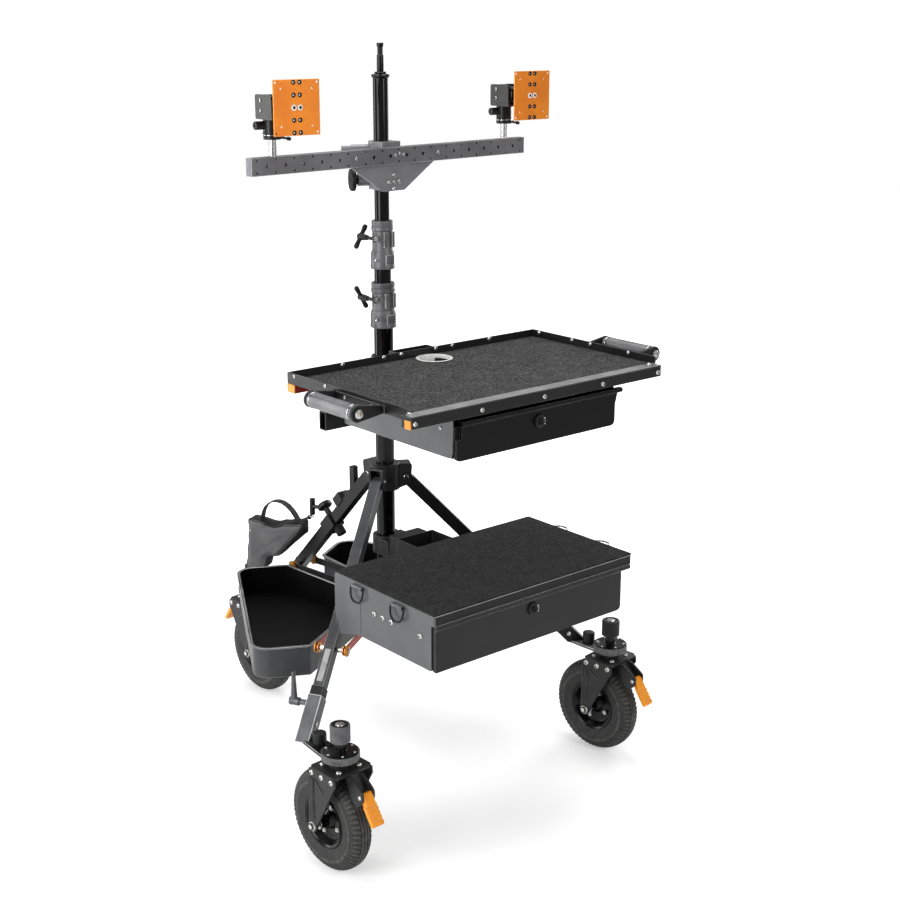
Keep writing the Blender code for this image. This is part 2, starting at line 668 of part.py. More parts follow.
# Monitor heads: post, barrel with a fork on top, and the drilled plate that tilts in the fork
def monitor_head(side, along, yaw):
    at = BAR_FRAME @ Vector((along, post_mid, 0))
    turn = Matrix.Translation((at.x, at.y, 0)) @ Matrix.Rotation(yaw, 4, "Z")
    node("post_" + side, rod((at.x, at.y, BAR_Z - BAR_H / 2 + 0.0063), (at.x, at.y, POST_TOP), POST_R, 16,
                             chamfer=0.001), "bright_steel", (at.x, at.y, BAR_Z), smooth=False)
    pivot = (at.x, at.y, HEAD_BARREL_Z)
    flange_top = HEAD_FLANGE_Z + HEAD_FLANGE_T
    r = HEAD_BARREL_R
    head = node("monitor_head_" + side, moved(rod((0, 0, HEAD_BARREL_Z), (0, 0, HEAD_FLANGE_Z + 0.001), r, 18), turn),
                "anodised_grey", pivot)
    w = HEAD_HALF_W
    front = TILT_Y - TILT_HUB_R + 0.002
    join(head, moved(block(-w, w, front, HEAD_BACK, HEAD_FLANGE_Z, flange_top, radius=0.001, along="z", segments=1),
                     turn))
    for s in (-1, 1):
        a, b = sorted((s * w, s * (w - HEAD_CHEEK)))
        cheek = fillet([(front + 0.002, flange_top - 0.001), (HEAD_BACK, flange_top - 0.001),
                        (HEAD_BACK, HEAD_TOP_Z), (front + 0.002, HEAD_TOP_Z)], [0, 0, 0.004, 0.010])
        join(head, moved(slab(cheek, HEAD_CHEEK, frame((a, 0, 0), (1, 0, 0), (0, 1, 0))), turn))
    join(head, moved(block(-w + 0.001, w - 0.001, -0.006, HEAD_BACK, flange_top - 0.001, HEAD_TOP_Z - 0.001), turn))
    join(head, moved(rod((-w + 0.002, TILT_Y, TILT_Z), (w - 0.002, TILT_Y, TILT_Z), TILT_PIN_R, 10), turn))
    join(head, moved(merged(dome((-w, -0.002, HEAD_TOP_Z - 0.012), (-1, 0, 0), 0.0045, 0.003),
                            dome((-w, -0.002, HEAD_TOP_Z - 0.032), (-1, 0, 0), 0.0045, 0.003)), turn))
    bolt_z = HEAD_FLANGE_Z - 0.013
    join(head, moved(rod((-r + 0.003, 0.006, bolt_z), (-r - 0.018, 0.006, bolt_z), 0.0085, 12), turn))
    join(head, moved(rod((r - 0.003, -0.004, HEAD_BARREL_Z + 0.004), (r + 0.008, -0.004, HEAD_BARREL_Z + 0.004),
                         0.0022, 8), turn))
    cut(head, moved(rod((0, 0, HEAD_BARREL_Z - 0.001), (0, 0, POST_TOP + GAP), bore(POST_R, 16), 16), turn))
    cut(head, moved(block(-w - 0.001, -0.001, -0.0006, 0.0006, HEAD_BARREL_Z - 0.001, HEAD_FLANGE_Z - 0.024), turn))
    tilt = turn @ Matrix.Translation((0, TILT_Y, TILT_Z))
    half = PLATE_SIDE / 2
    square = fillet([(-half, -half), (half, -half), (half, half), (-half, half)], 0.003, 2)
    face = PLATE_FRONT - TILT_Y
    pane = node("monitor_plate_" + side, slab(square, PLATE_T, tilt @ frame((0, face + PLATE_T, 0), (0, -1, 0))),
                "orange", tuple(tilt.translation))
    drill = []
    for a in (-1, 1):
        for b in (-1, 1):
            for d in (PLATE_OUTER_HOLE, PLATE_INNER_HOLE):
                drill.append(rod((a * d, face - 0.001, b * d), (a * d, face + PLATE_T + 0.001, b * d), PLATE_HOLE_R, 6))
        for k in (-2, -1, 1, 2):
            at = (a * PLATE_PAIR, 0, k * PLATE_ROW)
            drill.append(rod((at[0], face - 0.001, at[2]), (at[0], face + PLATE_T + 0.001, at[2]), PLATE_PAIR_R, 6))
    cut(pane, moved(merged(*drill), tilt))
    inside = w - HEAD_CHEEK - GAP
    join(pane, moved(block(-0.015, 0.015, face + PLATE_T - 0.0005, -TILT_HUB_R * 0.6, -0.016, 0.016, radius=0.002,
                           along="y", segments=1), tilt))
    join(pane, moved(rod((-inside, 0, 0), (inside, 0, 0), TILT_HUB_R, 14), tilt))
    cut(pane, moved(rod((-inside - 0.001, 0, 0), (inside + 0.001, 0, 0), bore(TILT_PIN_R, 10), 10), tilt))
    join(pane, moved(merged(*[dome((a * PLATE_PAIR, face, 0), (0, -1, 0), 0.0055, 0.0025) for a in (-1, 1)]), tilt))
    PIVOTS["head_" + side] = pivot
    PIVOTS["plate_" + side] = tuple(tilt.translation)
    PIVOTS["plate_axis_" + side] = tuple(turn.to_3x3() @ Vector((1, 0, 0)))


monitor_head("left", post_x[0], LEFT_HEAD_YAW)
monitor_head("right", post_x[1], RIGHT_HEAD_YAW)


# Work tray: folded pan with rims on three sides, front and rear rails, felt, cable cup
rail_back = TRAY_RAIL_FRONT + RAIL_DEPTH
rim_front = TRAY_RAIL_FRONT + RIM_FRONT_STOP
pan_front = rail_back + GAP
floor_z = RIM_Z
W = TRAY_HALF_W
pan = node("tray_pan", block(-W, W, pan_front, TRAY_BACK, floor_z, floor_z + PAN_T), "sheet_grey")
over_rail = RAIL_Z + RAIL_H + GAP
rim_profile = fillet([(pan_front, floor_z), (TRAY_BACK, floor_z), (TRAY_BACK, RIM_TOP), (rim_front, RIM_TOP),
                      (rim_front, over_rail), (pan_front, over_rail)], [0, 0, 0.003, 0.003, 0, 0])
for s in (-1, 1):
    x = min(s * W, s * (W - RIM_T))
    join(pan, slab(rim_profile, RIM_T, frame((x, 0, 0), (1, 0, 0), (0, 1, 0))))
join(pan, block(-W + 0.001, W - 0.001, TRAY_BACK - RIM_T, TRAY_BACK - GAP, floor_z + 0.001, RIM_TOP - GAP))
inner_back = TRAY_BACK - RIM_T
join(pan, merged(*[dome((s * x, inner_back, RIM_TOP - 0.005), (0, -1, 0), 0.0045, 0.003)
                   for s in (-1, 1) for x in (0.051, 0.101, 0.216)]))
cup_in = CUP_R - CUP_WALL
cup_low = FELT_TOP - CUP_DEPTH
join(pan, rod((CUP_X, CUP_Y, cup_low), (CUP_X, CUP_Y, FELT_TOP + 0.0008), CUP_R, 24))
join(pan, rod((CUP_X, CUP_Y, FELT_TOP + GAP), (CUP_X, CUP_Y, FELT_TOP + 0.001), CUP_R + 0.002, 24))
cut(pan, rod((CUP_X, CUP_Y, cup_low + CUP_WALL), (CUP_X, CUP_Y, RIM_TOP), cup_in, 24))
cut(pan, rod((CUP_X, CUP_Y, cup_low - 0.001), (CUP_X, CUP_Y, cup_low + 0.01), CUP_DRAIN_R, 12))
hole_z = RIM_TOP - 0.0074
holes = [rod((s * (W + 0.001), y, hole_z), (s * (W - RIM_T - 0.001), y, hole_z), 0.003, 6)
         for s in (-1, 1) for y in (-0.155, -0.269)]
cut(pan, merged(*holes))

felt = node("tray_felt", block(-W + RIM_T + GAP, W - RIM_T - GAP, pan_front + GAP, inner_back - GAP,
                               floor_z + PAN_T + GAP, FELT_TOP, radius=0.0012, segments=1), "felt")
cut(felt, rod((CUP_X, CUP_Y, floor_z), (CUP_X, CUP_Y, RIM_TOP), CUP_R + GAP, 24))

rail_end = W - CAP_T
rail = node("tray_front_rail", block(-rail_end, rail_end, TRAY_RAIL_FRONT, rail_back, RAIL_Z, RAIL_Z + RAIL_H,
                                     radius=0.0015, along="x", segments=1), "anodised_grey")
cut(rail, block(-rail_end - 0.001, rail_end + 0.001, TRAY_RAIL_FRONT + 0.004, rail_back - 0.004, RAIL_Z - 0.001,
                RAIL_Z + RAIL_H - 0.006))
rail_screws = [dome((x, TRAY_RAIL_FRONT, RAIL_Z + 0.010), (0, -1, 0), RAIL_SCREW_R, 0.004)
               for x in (-0.348, -0.174, 0, 0.174, 0.348)]
rail_screws += [dome((s * 0.345, rail_back - 0.006, RAIL_Z + RAIL_H), (0, 0, 1), RAIL_SCREW_R, 0.0035)
                for s in (-1, 1)]
join(rail, merged(*rail_screws))
rear_y = TRAY_BACK - REAR_RAIL_W
rear_top = floor_z - GAP
rear = node("tray_rear_rail", block(-rail_end, rail_end, rear_y, TRAY_BACK, rear_top - REAR_RAIL_H, rear_top,
                                    radius=0.0015, along="x", segments=1), "red")
cut(rear, block(-rail_end - 0.001, rail_end + 0.001, rear_y + 0.003, TRAY_BACK - 0.003,
                rear_top - REAR_RAIL_H - 0.001, rear_top - 0.003))
cut(rear, rod((CUP_X, CUP_Y, cup_low), (CUP_X, CUP_Y, RIM_TOP), CUP_R + 0.002, 24))
for s in (-1, 1):
    a, b = sorted((s * (rail_end - 0.001), s * W))
    join(rail, block(a, b, TRAY_RAIL_FRONT, rail_back, RAIL_Z, RAIL_Z + RAIL_H, radius=0.0015, segments=1))
    join(rear, block(a, b, rear_y, TRAY_BACK, rear_top - REAR_RAIL_H, rear_top, radius=0.0012, segments=1))


# Side handles: rail on the rim, two arm plates with round ends and a turned grip between
def tray_handle(side, s):
    r = HANDLE_R
    inner = s * (W + GAP)
    ends = (HANDLE_BACK, HANDLE_FRONT - HANDLE_PLATE_T)
    out = s * HANDLE_X
    obj = node("tray_handle_" + side, lathe(
        [(0, 0.0004), (r - 0.002, 0.0004), (r, 0.003), (r, 0.147), (r - 0.002, 0.1496), (0, 0.1496)], 16,
        frame((out, HANDLE_FRONT, HANDLE_Z), (0, 1, 0))), "anodised_grey")
    low = HANDLE_Z - 0.009
    for y in ends:
        tip = [(out + s * (r + 0.001) * math.sin(a), HANDLE_Z + (r + 0.001) * math.cos(a))
               for a in [math.pi * k / 6 for k in range(7)]]
        web = [(inner, HANDLE_Z + 0.008)] + tip + [(inner, low)]
        join(obj, slab(web, HANDLE_PLATE_T + 0.001, frame((0, y + HANDLE_PLATE_T + 0.0005, 0), (0, -1, 0))))
    a, b = sorted((inner, inner + s * 0.005))
    join(obj, block(a, b, HANDLE_FRONT - 0.012, HANDLE_BACK + 0.018, low, HANDLE_Z + 0.008, radius=0.002,
                    along="x", segments=1))
    join(obj, dome((out, HANDLE_FRONT - HANDLE_PLATE_T - 0.0003, HANDLE_Z), (0, -1, 0), HANDLE_BOLT_R, 0.005),
         dome((out, HANDLE_BACK + HANDLE_PLATE_T + 0.0003, HANDLE_Z), (0, 1, 0), 0.0055, 0.004))


tray_handle("left", -1)
tray_handle("right", 1)

# Yoke that carries the tray: split collar, back plate, two cheeks and the cross tube
yoke_back = -0.091
cheek_front = TRAY_BACK + GAP
tray_yoke = node("tray_mount", block(-TRAY_YOKE_HALF, TRAY_YOKE_HALF, yoke_back, yoke_back - YOKE_T,
                                     CROSS_TUBE_Z, RIM_TOP - 0.003), "matt_black")
for s in (-1, 1):
    a, b = sorted((s * TRAY_YOKE_HALF, s * (TRAY_YOKE_HALF - YOKE_T)))
    cheek = fillet([(yoke_back, RIM_TOP - 0.003), (cheek_front, RIM_TOP - 0.003), (cheek_front, 0.975),
                    (-0.105, CROSS_TUBE_Z), (yoke_back, CROSS_TUBE_Z)], [0, 0.004, 0.01, 0.01, 0], 2)
    join(tray_yoke, slab(cheek, YOKE_T, frame((a, 0, 0), (1, 0, 0), (0, 1, 0))))
collar_top = TRAY_COLLAR_Z + TRAY_COLLAR_H
join(tray_yoke, rod((0, 0, TRAY_COLLAR_Z), (0, 0, collar_top), LOWER_TUBE_R + CLAMP_WALL, 20))
join(tray_yoke, block(-0.026, 0.026, yoke_back, 0.0, TRAY_COLLAR_Z + 0.002, collar_top - 0.002, radius=0.003,
                      along="y"))
join(tray_yoke, block(-0.048, -0.022, -0.013, 0.013, TRAY_COLLAR_Z + 0.004, collar_top - 0.004, radius=0.003,
                      along="y"))
join(tray_yoke, rod((-0.040, 0.010, TRAY_COLLAR_Z + 0.025), (-0.040, 0.034, TRAY_COLLAR_Z + 0.025), 0.0065, 12))
cut(tray_yoke, rod((0, 0, TRAY_COLLAR_Z - 0.01), (0, 0, collar_top + 0.01), LOWER_TUBE_R + RUN, 20))
cut(tray_yoke, block(-0.049, -0.020, -0.001, 0.001, TRAY_COLLAR_Z - 0.001, collar_top + 0.001))
tube_y = CROSS_TUBE_Y
join(tray_yoke, block(-CROSS_TUBE_HALF, CROSS_TUBE_HALF, tube_y, tube_y + CROSS_TUBE_D, CROSS_TUBE_Z,
                      CROSS_TUBE_Z + CROSS_TUBE_H, radius=0.002, along="x", segments=1))
for s in (-1, 1):
    a, b = sorted((s * (CROSS_TUBE_HALF + 0.001), s * (TRAY_YOKE_HALF + 0.01)))
    cut(tray_yoke, block(a, b, tube_y + 0.003, tube_y + CROSS_TUBE_D - 0.003, CROSS_TUBE_Z + 0.003,
                         CROSS_TUBE_Z + CROSS_TUBE_H - 0.003))

# Upper drawer: folded housing under the tray, open to the front
U = UP_HALF_W
house_top = floor_z - GAP
up_house = node("drawer_housing", block(-U, U, UP_FRONT + 0.006, UP_BACK, house_top - UP_SHEET, house_top),
                "sheet_grey")
under_rail = RAIL_Z - 0.001
side_profile = fillet([(UP_FRONT, under_rail), (UP_FRONT, UP_BOTTOM), (UP_BACK, UP_BOTTOM), (UP_BACK, house_top),
                       (rail_back + 0.002, house_top), (rail_back + 0.002, under_rail)],
                      [0.002, 0.012, 0.012, 0, 0, 0])
for s in (-1, 1):
    a = min(s * U, s * (U - UP_SHEET))
    join(up_house, slab(side_profile, UP_SHEET, frame((a, 0, 0), (1, 0, 0), (0, 1, 0))))
    ledge = s * (U - UP_SHEET + 0.0005)
    a, b = sorted((ledge, s * (U - 0.0105)))
    join(up_house, block(a, b, UP_FRONT + 0.002, UP_BACK - 0.001, UP_BOTTOM, UP_BOTTOM + 0.0025))
join(up_house, block(-U + 0.001, U - 0.001, UP_BACK - UP_SHEET, UP_BACK, UP_BOTTOM + 0.0005, house_top - 0.001))
join(up_house, merged(*[dome((s * U, y, 1.002), (s, 0, 0), 0.0045, 0.0025)
                        for s in (-1, 1) for y in (-0.491, -0.200)]))
cut(up_house, rod((CUP_X, CUP_Y, cup_low - 0.002), (CUP_X, CUP_Y, house_top + 0.001), CUP_R + 0.002, 24))


# Drawer: open sheet tray behind a front panel with a folded lip on its top edge
def drawer(name, outline, front, x0, x1, back, z0, z1, lip):
    shell = node(name, slab(outline, DRAWER_FRONT_T, frame((0, front, 0), (0, -1, 0))), "matt_black")
    join(shell, block(x0, x1, back, front - 0.001, z0, z1))
    cut(shell, block(x0 + DRAWER_WALL, x1 - DRAWER_WALL, back - DRAWER_WALL, front + GAP, z0 + DRAWER_WALL,
                     z1 + 0.001))
    join(shell, lip)
    return shell


up_face = UP_FRONT - GAP
face_top = UP_DRAWER_Z + UP_DRAWER_H
front_outline = fillet([(-0.230, UP_DRAWER_Z), (0.230, UP_DRAWER_Z), (0.230, face_top), (-0.230 + NOTCH_W, face_top),
                        (-0.230 + NOTCH_W, face_top - NOTCH_H), (-0.230, face_top - NOTCH_H)],
                       [0.010, 0.010, 0.001, 0.001, 0.001, 0.003])
lip_front = up_face - DRAWER_FRONT_T - 0.004
lip = slab(fillet([(up_face, face_top - 0.002), (lip_front, face_top + 0.002), (lip_front, face_top + UP_LIP_H),
                   (up_face, face_top + UP_LIP_H)], [0, 0.003, 0.002, 0.001]), UP_LIP_RIGHT - UP_LIP_LEFT,
           frame((UP_LIP_LEFT, 0, 0), (1, 0, 0), (0, 1, 0)))
tray_side = U - UP_SHEET - GAP - 0.001
up_drawer = drawer("upper_drawer", front_outline, up_face, -tray_side, tray_side, UP_BACK - UP_SHEET - GAP - 0.002,
                   UP_BOTTOM + 0.0025 + GAP, face_top, lip)
low_face = LID_FRONT + DRAWER_FRONT_T
low_top = LOW_LIP_Z
front_outline = fillet([(-0.291, LOW_DRAWER_Z), (LOW_FRONT_RIGHT, LOW_DRAWER_Z), (LOW_FRONT_RIGHT, low_top),
                        (-0.291, low_top)], [0.003, 0.010, 0.001, 0.001])
lip = slab(fillet([(low_face, low_top - 0.002), (LID_FRONT - 0.004, low_top + 0.002),
                   (LID_FRONT - 0.004, low_top + LOW_LIP_H), (low_face, low_top + LOW_LIP_H)],
                  [0, 0.003, 0.002, 0.001]), 0.287 + 0.291, frame((-0.291, 0, 0), (1, 0, 0), (0, 1, 0)))
box_left = -LID_HALF_W
low_drawer = drawer("lower_drawer", front_outline, low_face, box_left + BOX_SHEET + GAP + 0.001,
                    BOX_RIGHT - BOX_SHEET - GAP - 0.001, LID_BACK - BOX_SHEET - GAP - 0.004,
                    BOX_BOTTOM + 0.0025 + GAP, low_top - 0.002, lip)


def latch(name, drawer_obj, x, z, face):
    """Quarter-turn latch: bezel and key barrel in a hole of the drawer front."""
    pivot = (x, face - DRAWER_FRONT_T, z)
    r = LATCH_R
    profile = [(0, 0.011), (0.006, 0.011), (0.007, 0.010), (0.007, 0.006), (r - 0.002, 0.006), (r, 0.004),
               (r, GAP), (LATCH_STEM_R, GAP), (LATCH_STEM_R, -DRAWER_FRONT_T - 0.006),
               (0, -DRAWER_FRONT_T - 0.006)]
    obj = node(name, lathe(profile, 16, frame(pivot, (0, -1, 0))), "matt_black", pivot)
    join(obj, block(x - 0.0015, x + 0.0015, face - DRAWER_FRONT_T - 0.010, face - DRAWER_FRONT_T - 0.0125,
                    z - 0.005, z + 0.005))
    join(obj, block(x - 0.004, x + 0.004, face + 0.0035, face + 0.0055, z - 0.003, z + 0.018))
    cut(drawer_obj, rod((x, face + 0.001, z), (x, face - DRAWER_FRONT_T - 0.001, z), bore(LATCH_STEM_R, 16), 16))
    return pivot


PIVOTS["upper_latch"] = latch("upper_latch", up_drawer, UP_LATCH_X, UP_LATCH_Z, up_face)
PIVOTS["lower_latch"] = latch("lower_latch", low_drawer, LOW_LATCH_X, LOW_LATCH_Z, low_face)

# Lower box: shallow lid over a folded body that is offset to the left, open to the front
L = LID_HALF_W
lid_low = LID_TOP - LID_H
lid = node("box_housing", block(-L, L, LID_FRONT, LID_BACK, lid_low, LID_TOP, radius=0.003, along="z"),
           "sheet_grey")
cut(lid, block(-L + BOX_SHEET, L - BOX_SHEET, LID_FRONT + BOX_SHEET, LID_BACK - BOX_SHEET, lid_low - 0.001,
               LID_TOP - BOX_SHEET))
left_profile = fillet([(low_face + 0.002, LID_TOP - 0.002), (low_face + 0.002, BOX_BOTTOM),
                       (RING_Y_BACK, BOX_BOTTOM), (LID_BACK - 0.0166, BOX_TAIL_Z), (LID_BACK + 0.002, BOX_REAR_Z),
                       (LID_BACK + 0.002, LID_TOP - 0.004)], [0, 0.004, 0.003, 0.003, 0.003, 0.003])
join(lid, slab(left_profile, BOX_SHEET, frame((-L, 0, 0), (1, 0, 0), (0, 1, 0))))
right_profile = fillet([(low_face + 0.002, LID_TOP - 0.002), (low_face + 0.002, BOX_BOTTOM), (LID_BACK, BOX_BOTTOM),
                        (LID_BACK, LID_TOP - 0.002)], [0, 0.004, 0.010, 0])
join(lid, slab(right_profile, BOX_SHEET, frame((BOX_RIGHT - BOX_SHEET, 0, 0), (1, 0, 0), (0, 1, 0))))
join(lid, block(-L + 0.001, BOX_RIGHT - 0.001, LID_BACK - BOX_SHEET, LID_BACK, BOX_BOTTOM + 0.001, LID_TOP - 0.001))
for x, s in ((-L + BOX_SHEET - 0.0005, 1), (BOX_RIGHT - BOX_SHEET + 0.0005, -1)):
    a, b = sorted((x, x + s * 0.012))
    join(lid, block(a, b, low_face + 0.004, LID_BACK - 0.001, BOX_BOTTOM, BOX_BOTTOM + 0.0025))
join(lid, merged(*[dome((-L, y, 0.5635), (-1, 0, 0), BOX_SCREW_R, 0.002, 8)
                   for y in (-0.3404, -0.3697, -0.400, -0.4976)]))
cut(lid, block(-L - 0.001, -L + BOX_SHEET + 0.0001, -0.2895, -0.2880, BOX_BOTTOM + 0.006, 0.5728))
node("box_carpet", block(-L + 0.0005, L - 0.0005, LID_FRONT + 0.0005, LID_BACK - 0.0005, LID_TOP + GAP,
                         LID_TOP + GAP + CARPET_T, radius=0.0012, segments=1), "felt")


# Tie-down rings: a D of round wire whose straight side turns in two clips on the lid edge
def tie_ring(name, side, y, lift):
    s = 1 if side == "right" else -1
    x = s * (L + CLIP_R)
    pivot = (x, y, RING_Z)
    h = RING_HALF
    w = RING_WIRE_R
    c = h - CLIP_SHORT
    join(lid, rod((x, y - c, RING_Z), (x, y + c, RING_Z), CLIP_R, 8))
    a, b = sorted((x - s * 0.001, s * (L - 0.001)))
    join(lid, block(a, b, y - c + 0.0005, y + c - 0.0005, RING_Z - CLIP_R * 0.8, RING_Z + CLIP_R * 0.8))
    cut(lid, rod((x, y - h, RING_Z), (x, y + h, RING_Z), bore(w, 8), 8))
    reach = RING_REACH
    bow = [(0, -h + 0.0), (reach * 0.35, -h), (reach * 0.7, -h * 0.86), (reach * 0.92, -h * 0.5), (reach, 0),
           (reach * 0.92, h * 0.5), (reach * 0.7, h * 0.86), (reach * 0.35, h), (0, h)]
    c, q = math.cos(lift), math.sin(lift)
    path = [(x + s * p * c, y + t, RING_Z + p * q) for p, t in bow]
    node(name, swept(path, w, closed=True), "bright_steel", pivot)
    return pivot


HANG = math.radians(-82)
PIVOTS["ring_lb"] = tie_ring("tie_ring_left_back", "left", RING_Y_BACK, HANG)
PIVOTS["ring_lf"] = tie_ring("tie_ring_left_front", "left", RING_Y_FRONT, HANG)
PIVOTS["ring_rb"] = tie_ring("tie_ring_right_back", "right", RING_Y_BACK, 0.0)
PIVOTS["ring_rf"] = tie_ring("tie_ring_right_front", "right", RING_Y_FRONT, 0.0)

# Yoke of the lower box: collar on the lower tube, blocks, back plate and two cheeks
box_back = LID_BACK + GAP
top_z = LID_TOP
box_yoke = node("box_mount", block(-0.054, 0.054, BOX_YOKE_BACK, BOX_YOKE_BACK + YOKE_T, BOX_COLLAR_Z - 0.02, top_z),
                "matt_black")
for s in (-1, 1):
    a = min(s * 0.054, s * (0.054 - YOKE_T))
    cheek = fillet([(BOX_YOKE_BACK + YOKE_T, top_z), (box_back, top_z), (box_back, BOX_COLLAR_Z - 0.035),
                    (BOX_YOKE_BACK, BOX_COLLAR_Z - 0.02), (BOX_YOKE_BACK + YOKE_T, BOX_COLLAR_Z - 0.02)],
                   [0, 0.003, 0.008, 0, 0])
    join(box_yoke, slab(cheek, YOKE_T, frame((a, 0, 0), (1, 0, 0), (0, 1, 0))))
collar_r = LOWER_TUBE_R + 0.010
collar_top = BOX_COLLAR_Z + BOX_COLLAR_H
join(box_yoke, rod((0, 0, BOX_COLLAR_Z), (0, 0, collar_top), collar_r, 20))
join(box_yoke, block(-0.035, 0.035, -0.055, -0.012, BOX_COLLAR_Z + 0.002, collar_top - 0.001, radius=0.003,
                     along="z"))
join(box_yoke, block(-0.045, 0.045, -0.104, -0.070, BOX_COLLAR_Z, top_z - 0.004, radius=0.003, along="z"))
join(box_yoke, block(-0.020, 0.020, BOX_YOKE_BACK + 0.001, -0.030, BOX_COLLAR_Z + 0.004, collar_top - 0.004))
join(box_yoke, block(0.022, 0.056, -0.010, 0.010, BOX_COLLAR_Z + 0.004, collar_top - 0.004, radius=0.003, along="y"))
join(box_yoke, rod((0.046, -0.022, 0.572), (0.046, 0.016, 0.572), 0.006, 16),
     rod((0.046, 0.015, 0.572), (0.046, 0.032, 0.572), BOX_KNOB_R, 14))
cut(box_yoke, rod((0, 0, BOX_COLLAR_Z - 0.01), (0, 0, collar_top + 0.01), LOWER_TUBE_R + RUN, 20))
cut(box_yoke, block(0.018, 0.058, -0.001, 0.001, BOX_COLLAR_Z - 0.001, collar_top + 0.001))


def leg_frame(az):
    """X down the leg from its pivot, Y sideways, Z off its upper face."""
    turn = Matrix.Rotation(az, 4, "Z") @ Matrix.Rotation(LEG_SLOPE, 4, "Y")
    return Matrix.Translation(polar(az, LEG_PIVOT_R, 0, LEG_PIVOT_Z)) @ turn


def plane_frame(az, off):
    """X outwards, Y up, in the vertical plane of a leg at a side offset."""
    return frame(polar(az, 0, off, 0), polar(az, 0, -1, 0), polar(az, 1, 0, 0))


# Leg hub: turned collar on the lower tube, three pairs of cheeks with the pivot pins
hub_top = HUB_Z + HUB_H
hub = node("leg_hub", lathe([(LOWER_TUBE_R + GAP, HUB_Z), (HUB_R, HUB_Z), (HUB_R, hub_top - 0.002),
                             (HUB_R - 0.002, hub_top), (LOWER_TUBE_R + GAP, hub_top)], 20), "cast_grey")
cheek_in = LEG_W / 2 + GAP
for az in LEG_AZ.values():
    turn = Matrix.Rotation(az, 4, "Z")
    lug = fillet([(HUB_R - 0.005, HUB_Z + 0.002), (LEG_PIVOT_R + 0.012, HUB_Z + 0.012),
                  (LEG_PIVOT_R + 0.016, hub_top - 0.001), (HUB_R - 0.005, hub_top - 0.001)], [0, 0.012, 0.006, 0])
    join(hub, slab(lug, 2 * (cheek_in + LUG_T), plane_frame(az, cheek_in + LUG_T)))
for az in LEG_AZ.values():
    turn = Matrix.Rotation(az, 4, "Z")
    cut(hub, moved(block(HUB_R - 0.003, LEG_PIVOT_R + 0.030, -cheek_in, cheek_in, HUB_Z - 0.001, hub_top - 0.005),
                   turn))
    reach = cheek_in + LUG_T + 0.004
    join(hub, moved(rod((LEG_PIVOT_R, -reach, LEG_PIVOT_Z), (LEG_PIVOT_R, reach, LEG_PIVOT_Z), LEG_PIN_R, 8),
                    turn))


# Legs: square tube under each pair of cheeks, with the outer sleeve that slides on it
def leg_upper(side, az):
    place = leg_frame(az)
    d = LEG_D / 2
    nose = [(0.011 * math.cos(a), 0.011 * math.sin(a)) for a in [math.pi * (0.5 + k / 5) for k in range(6)]]
    outline = [(0.020, d)] + nose + [(0.020, -d), (LEG_UPPER_L, -d), (LEG_UPPER_L, d)]
    leg = node("leg_upper_" + side, slab(outline, LEG_W, place @ frame((0, LEG_W / 2, 0), (0, -1, 0))),
               "sheet_grey" if side == "left" else "matt_black")
    w = LEG_W / 2 - LEG_WALL
    cut(leg, moved(block(0.030, LEG_UPPER_L + 0.001, -w, w, -d + LEG_WALL, d - LEG_WALL), place))
    cut(leg, moved(rod((0, -LEG_W, 0), (0, LEG_W, 0), LEG_PIN_R + GAP, 8), place))
    rod_half = BRACE_OFF + 0.009
    ring_in = BRACE_OFF + BRACE_T / 2 + GAP
    profile = [(0, rod_half), (BRACE_RING_R, ring_in + 0.004), (BRACE_RING_R, ring_in), (BRACE_BOLT_R, ring_in),
               (BRACE_BOLT_R, -ring_in), (BRACE_RING_R, -ring_in), (BRACE_RING_R, -ring_in - 0.004), (0, -rod_half)]
    join(leg, lathe(profile, 8, frame(polar(az, BRACE_R_OUT, 0, BRACE_Z_OUT), polar(az, 0, 1, 0))))
    return leg


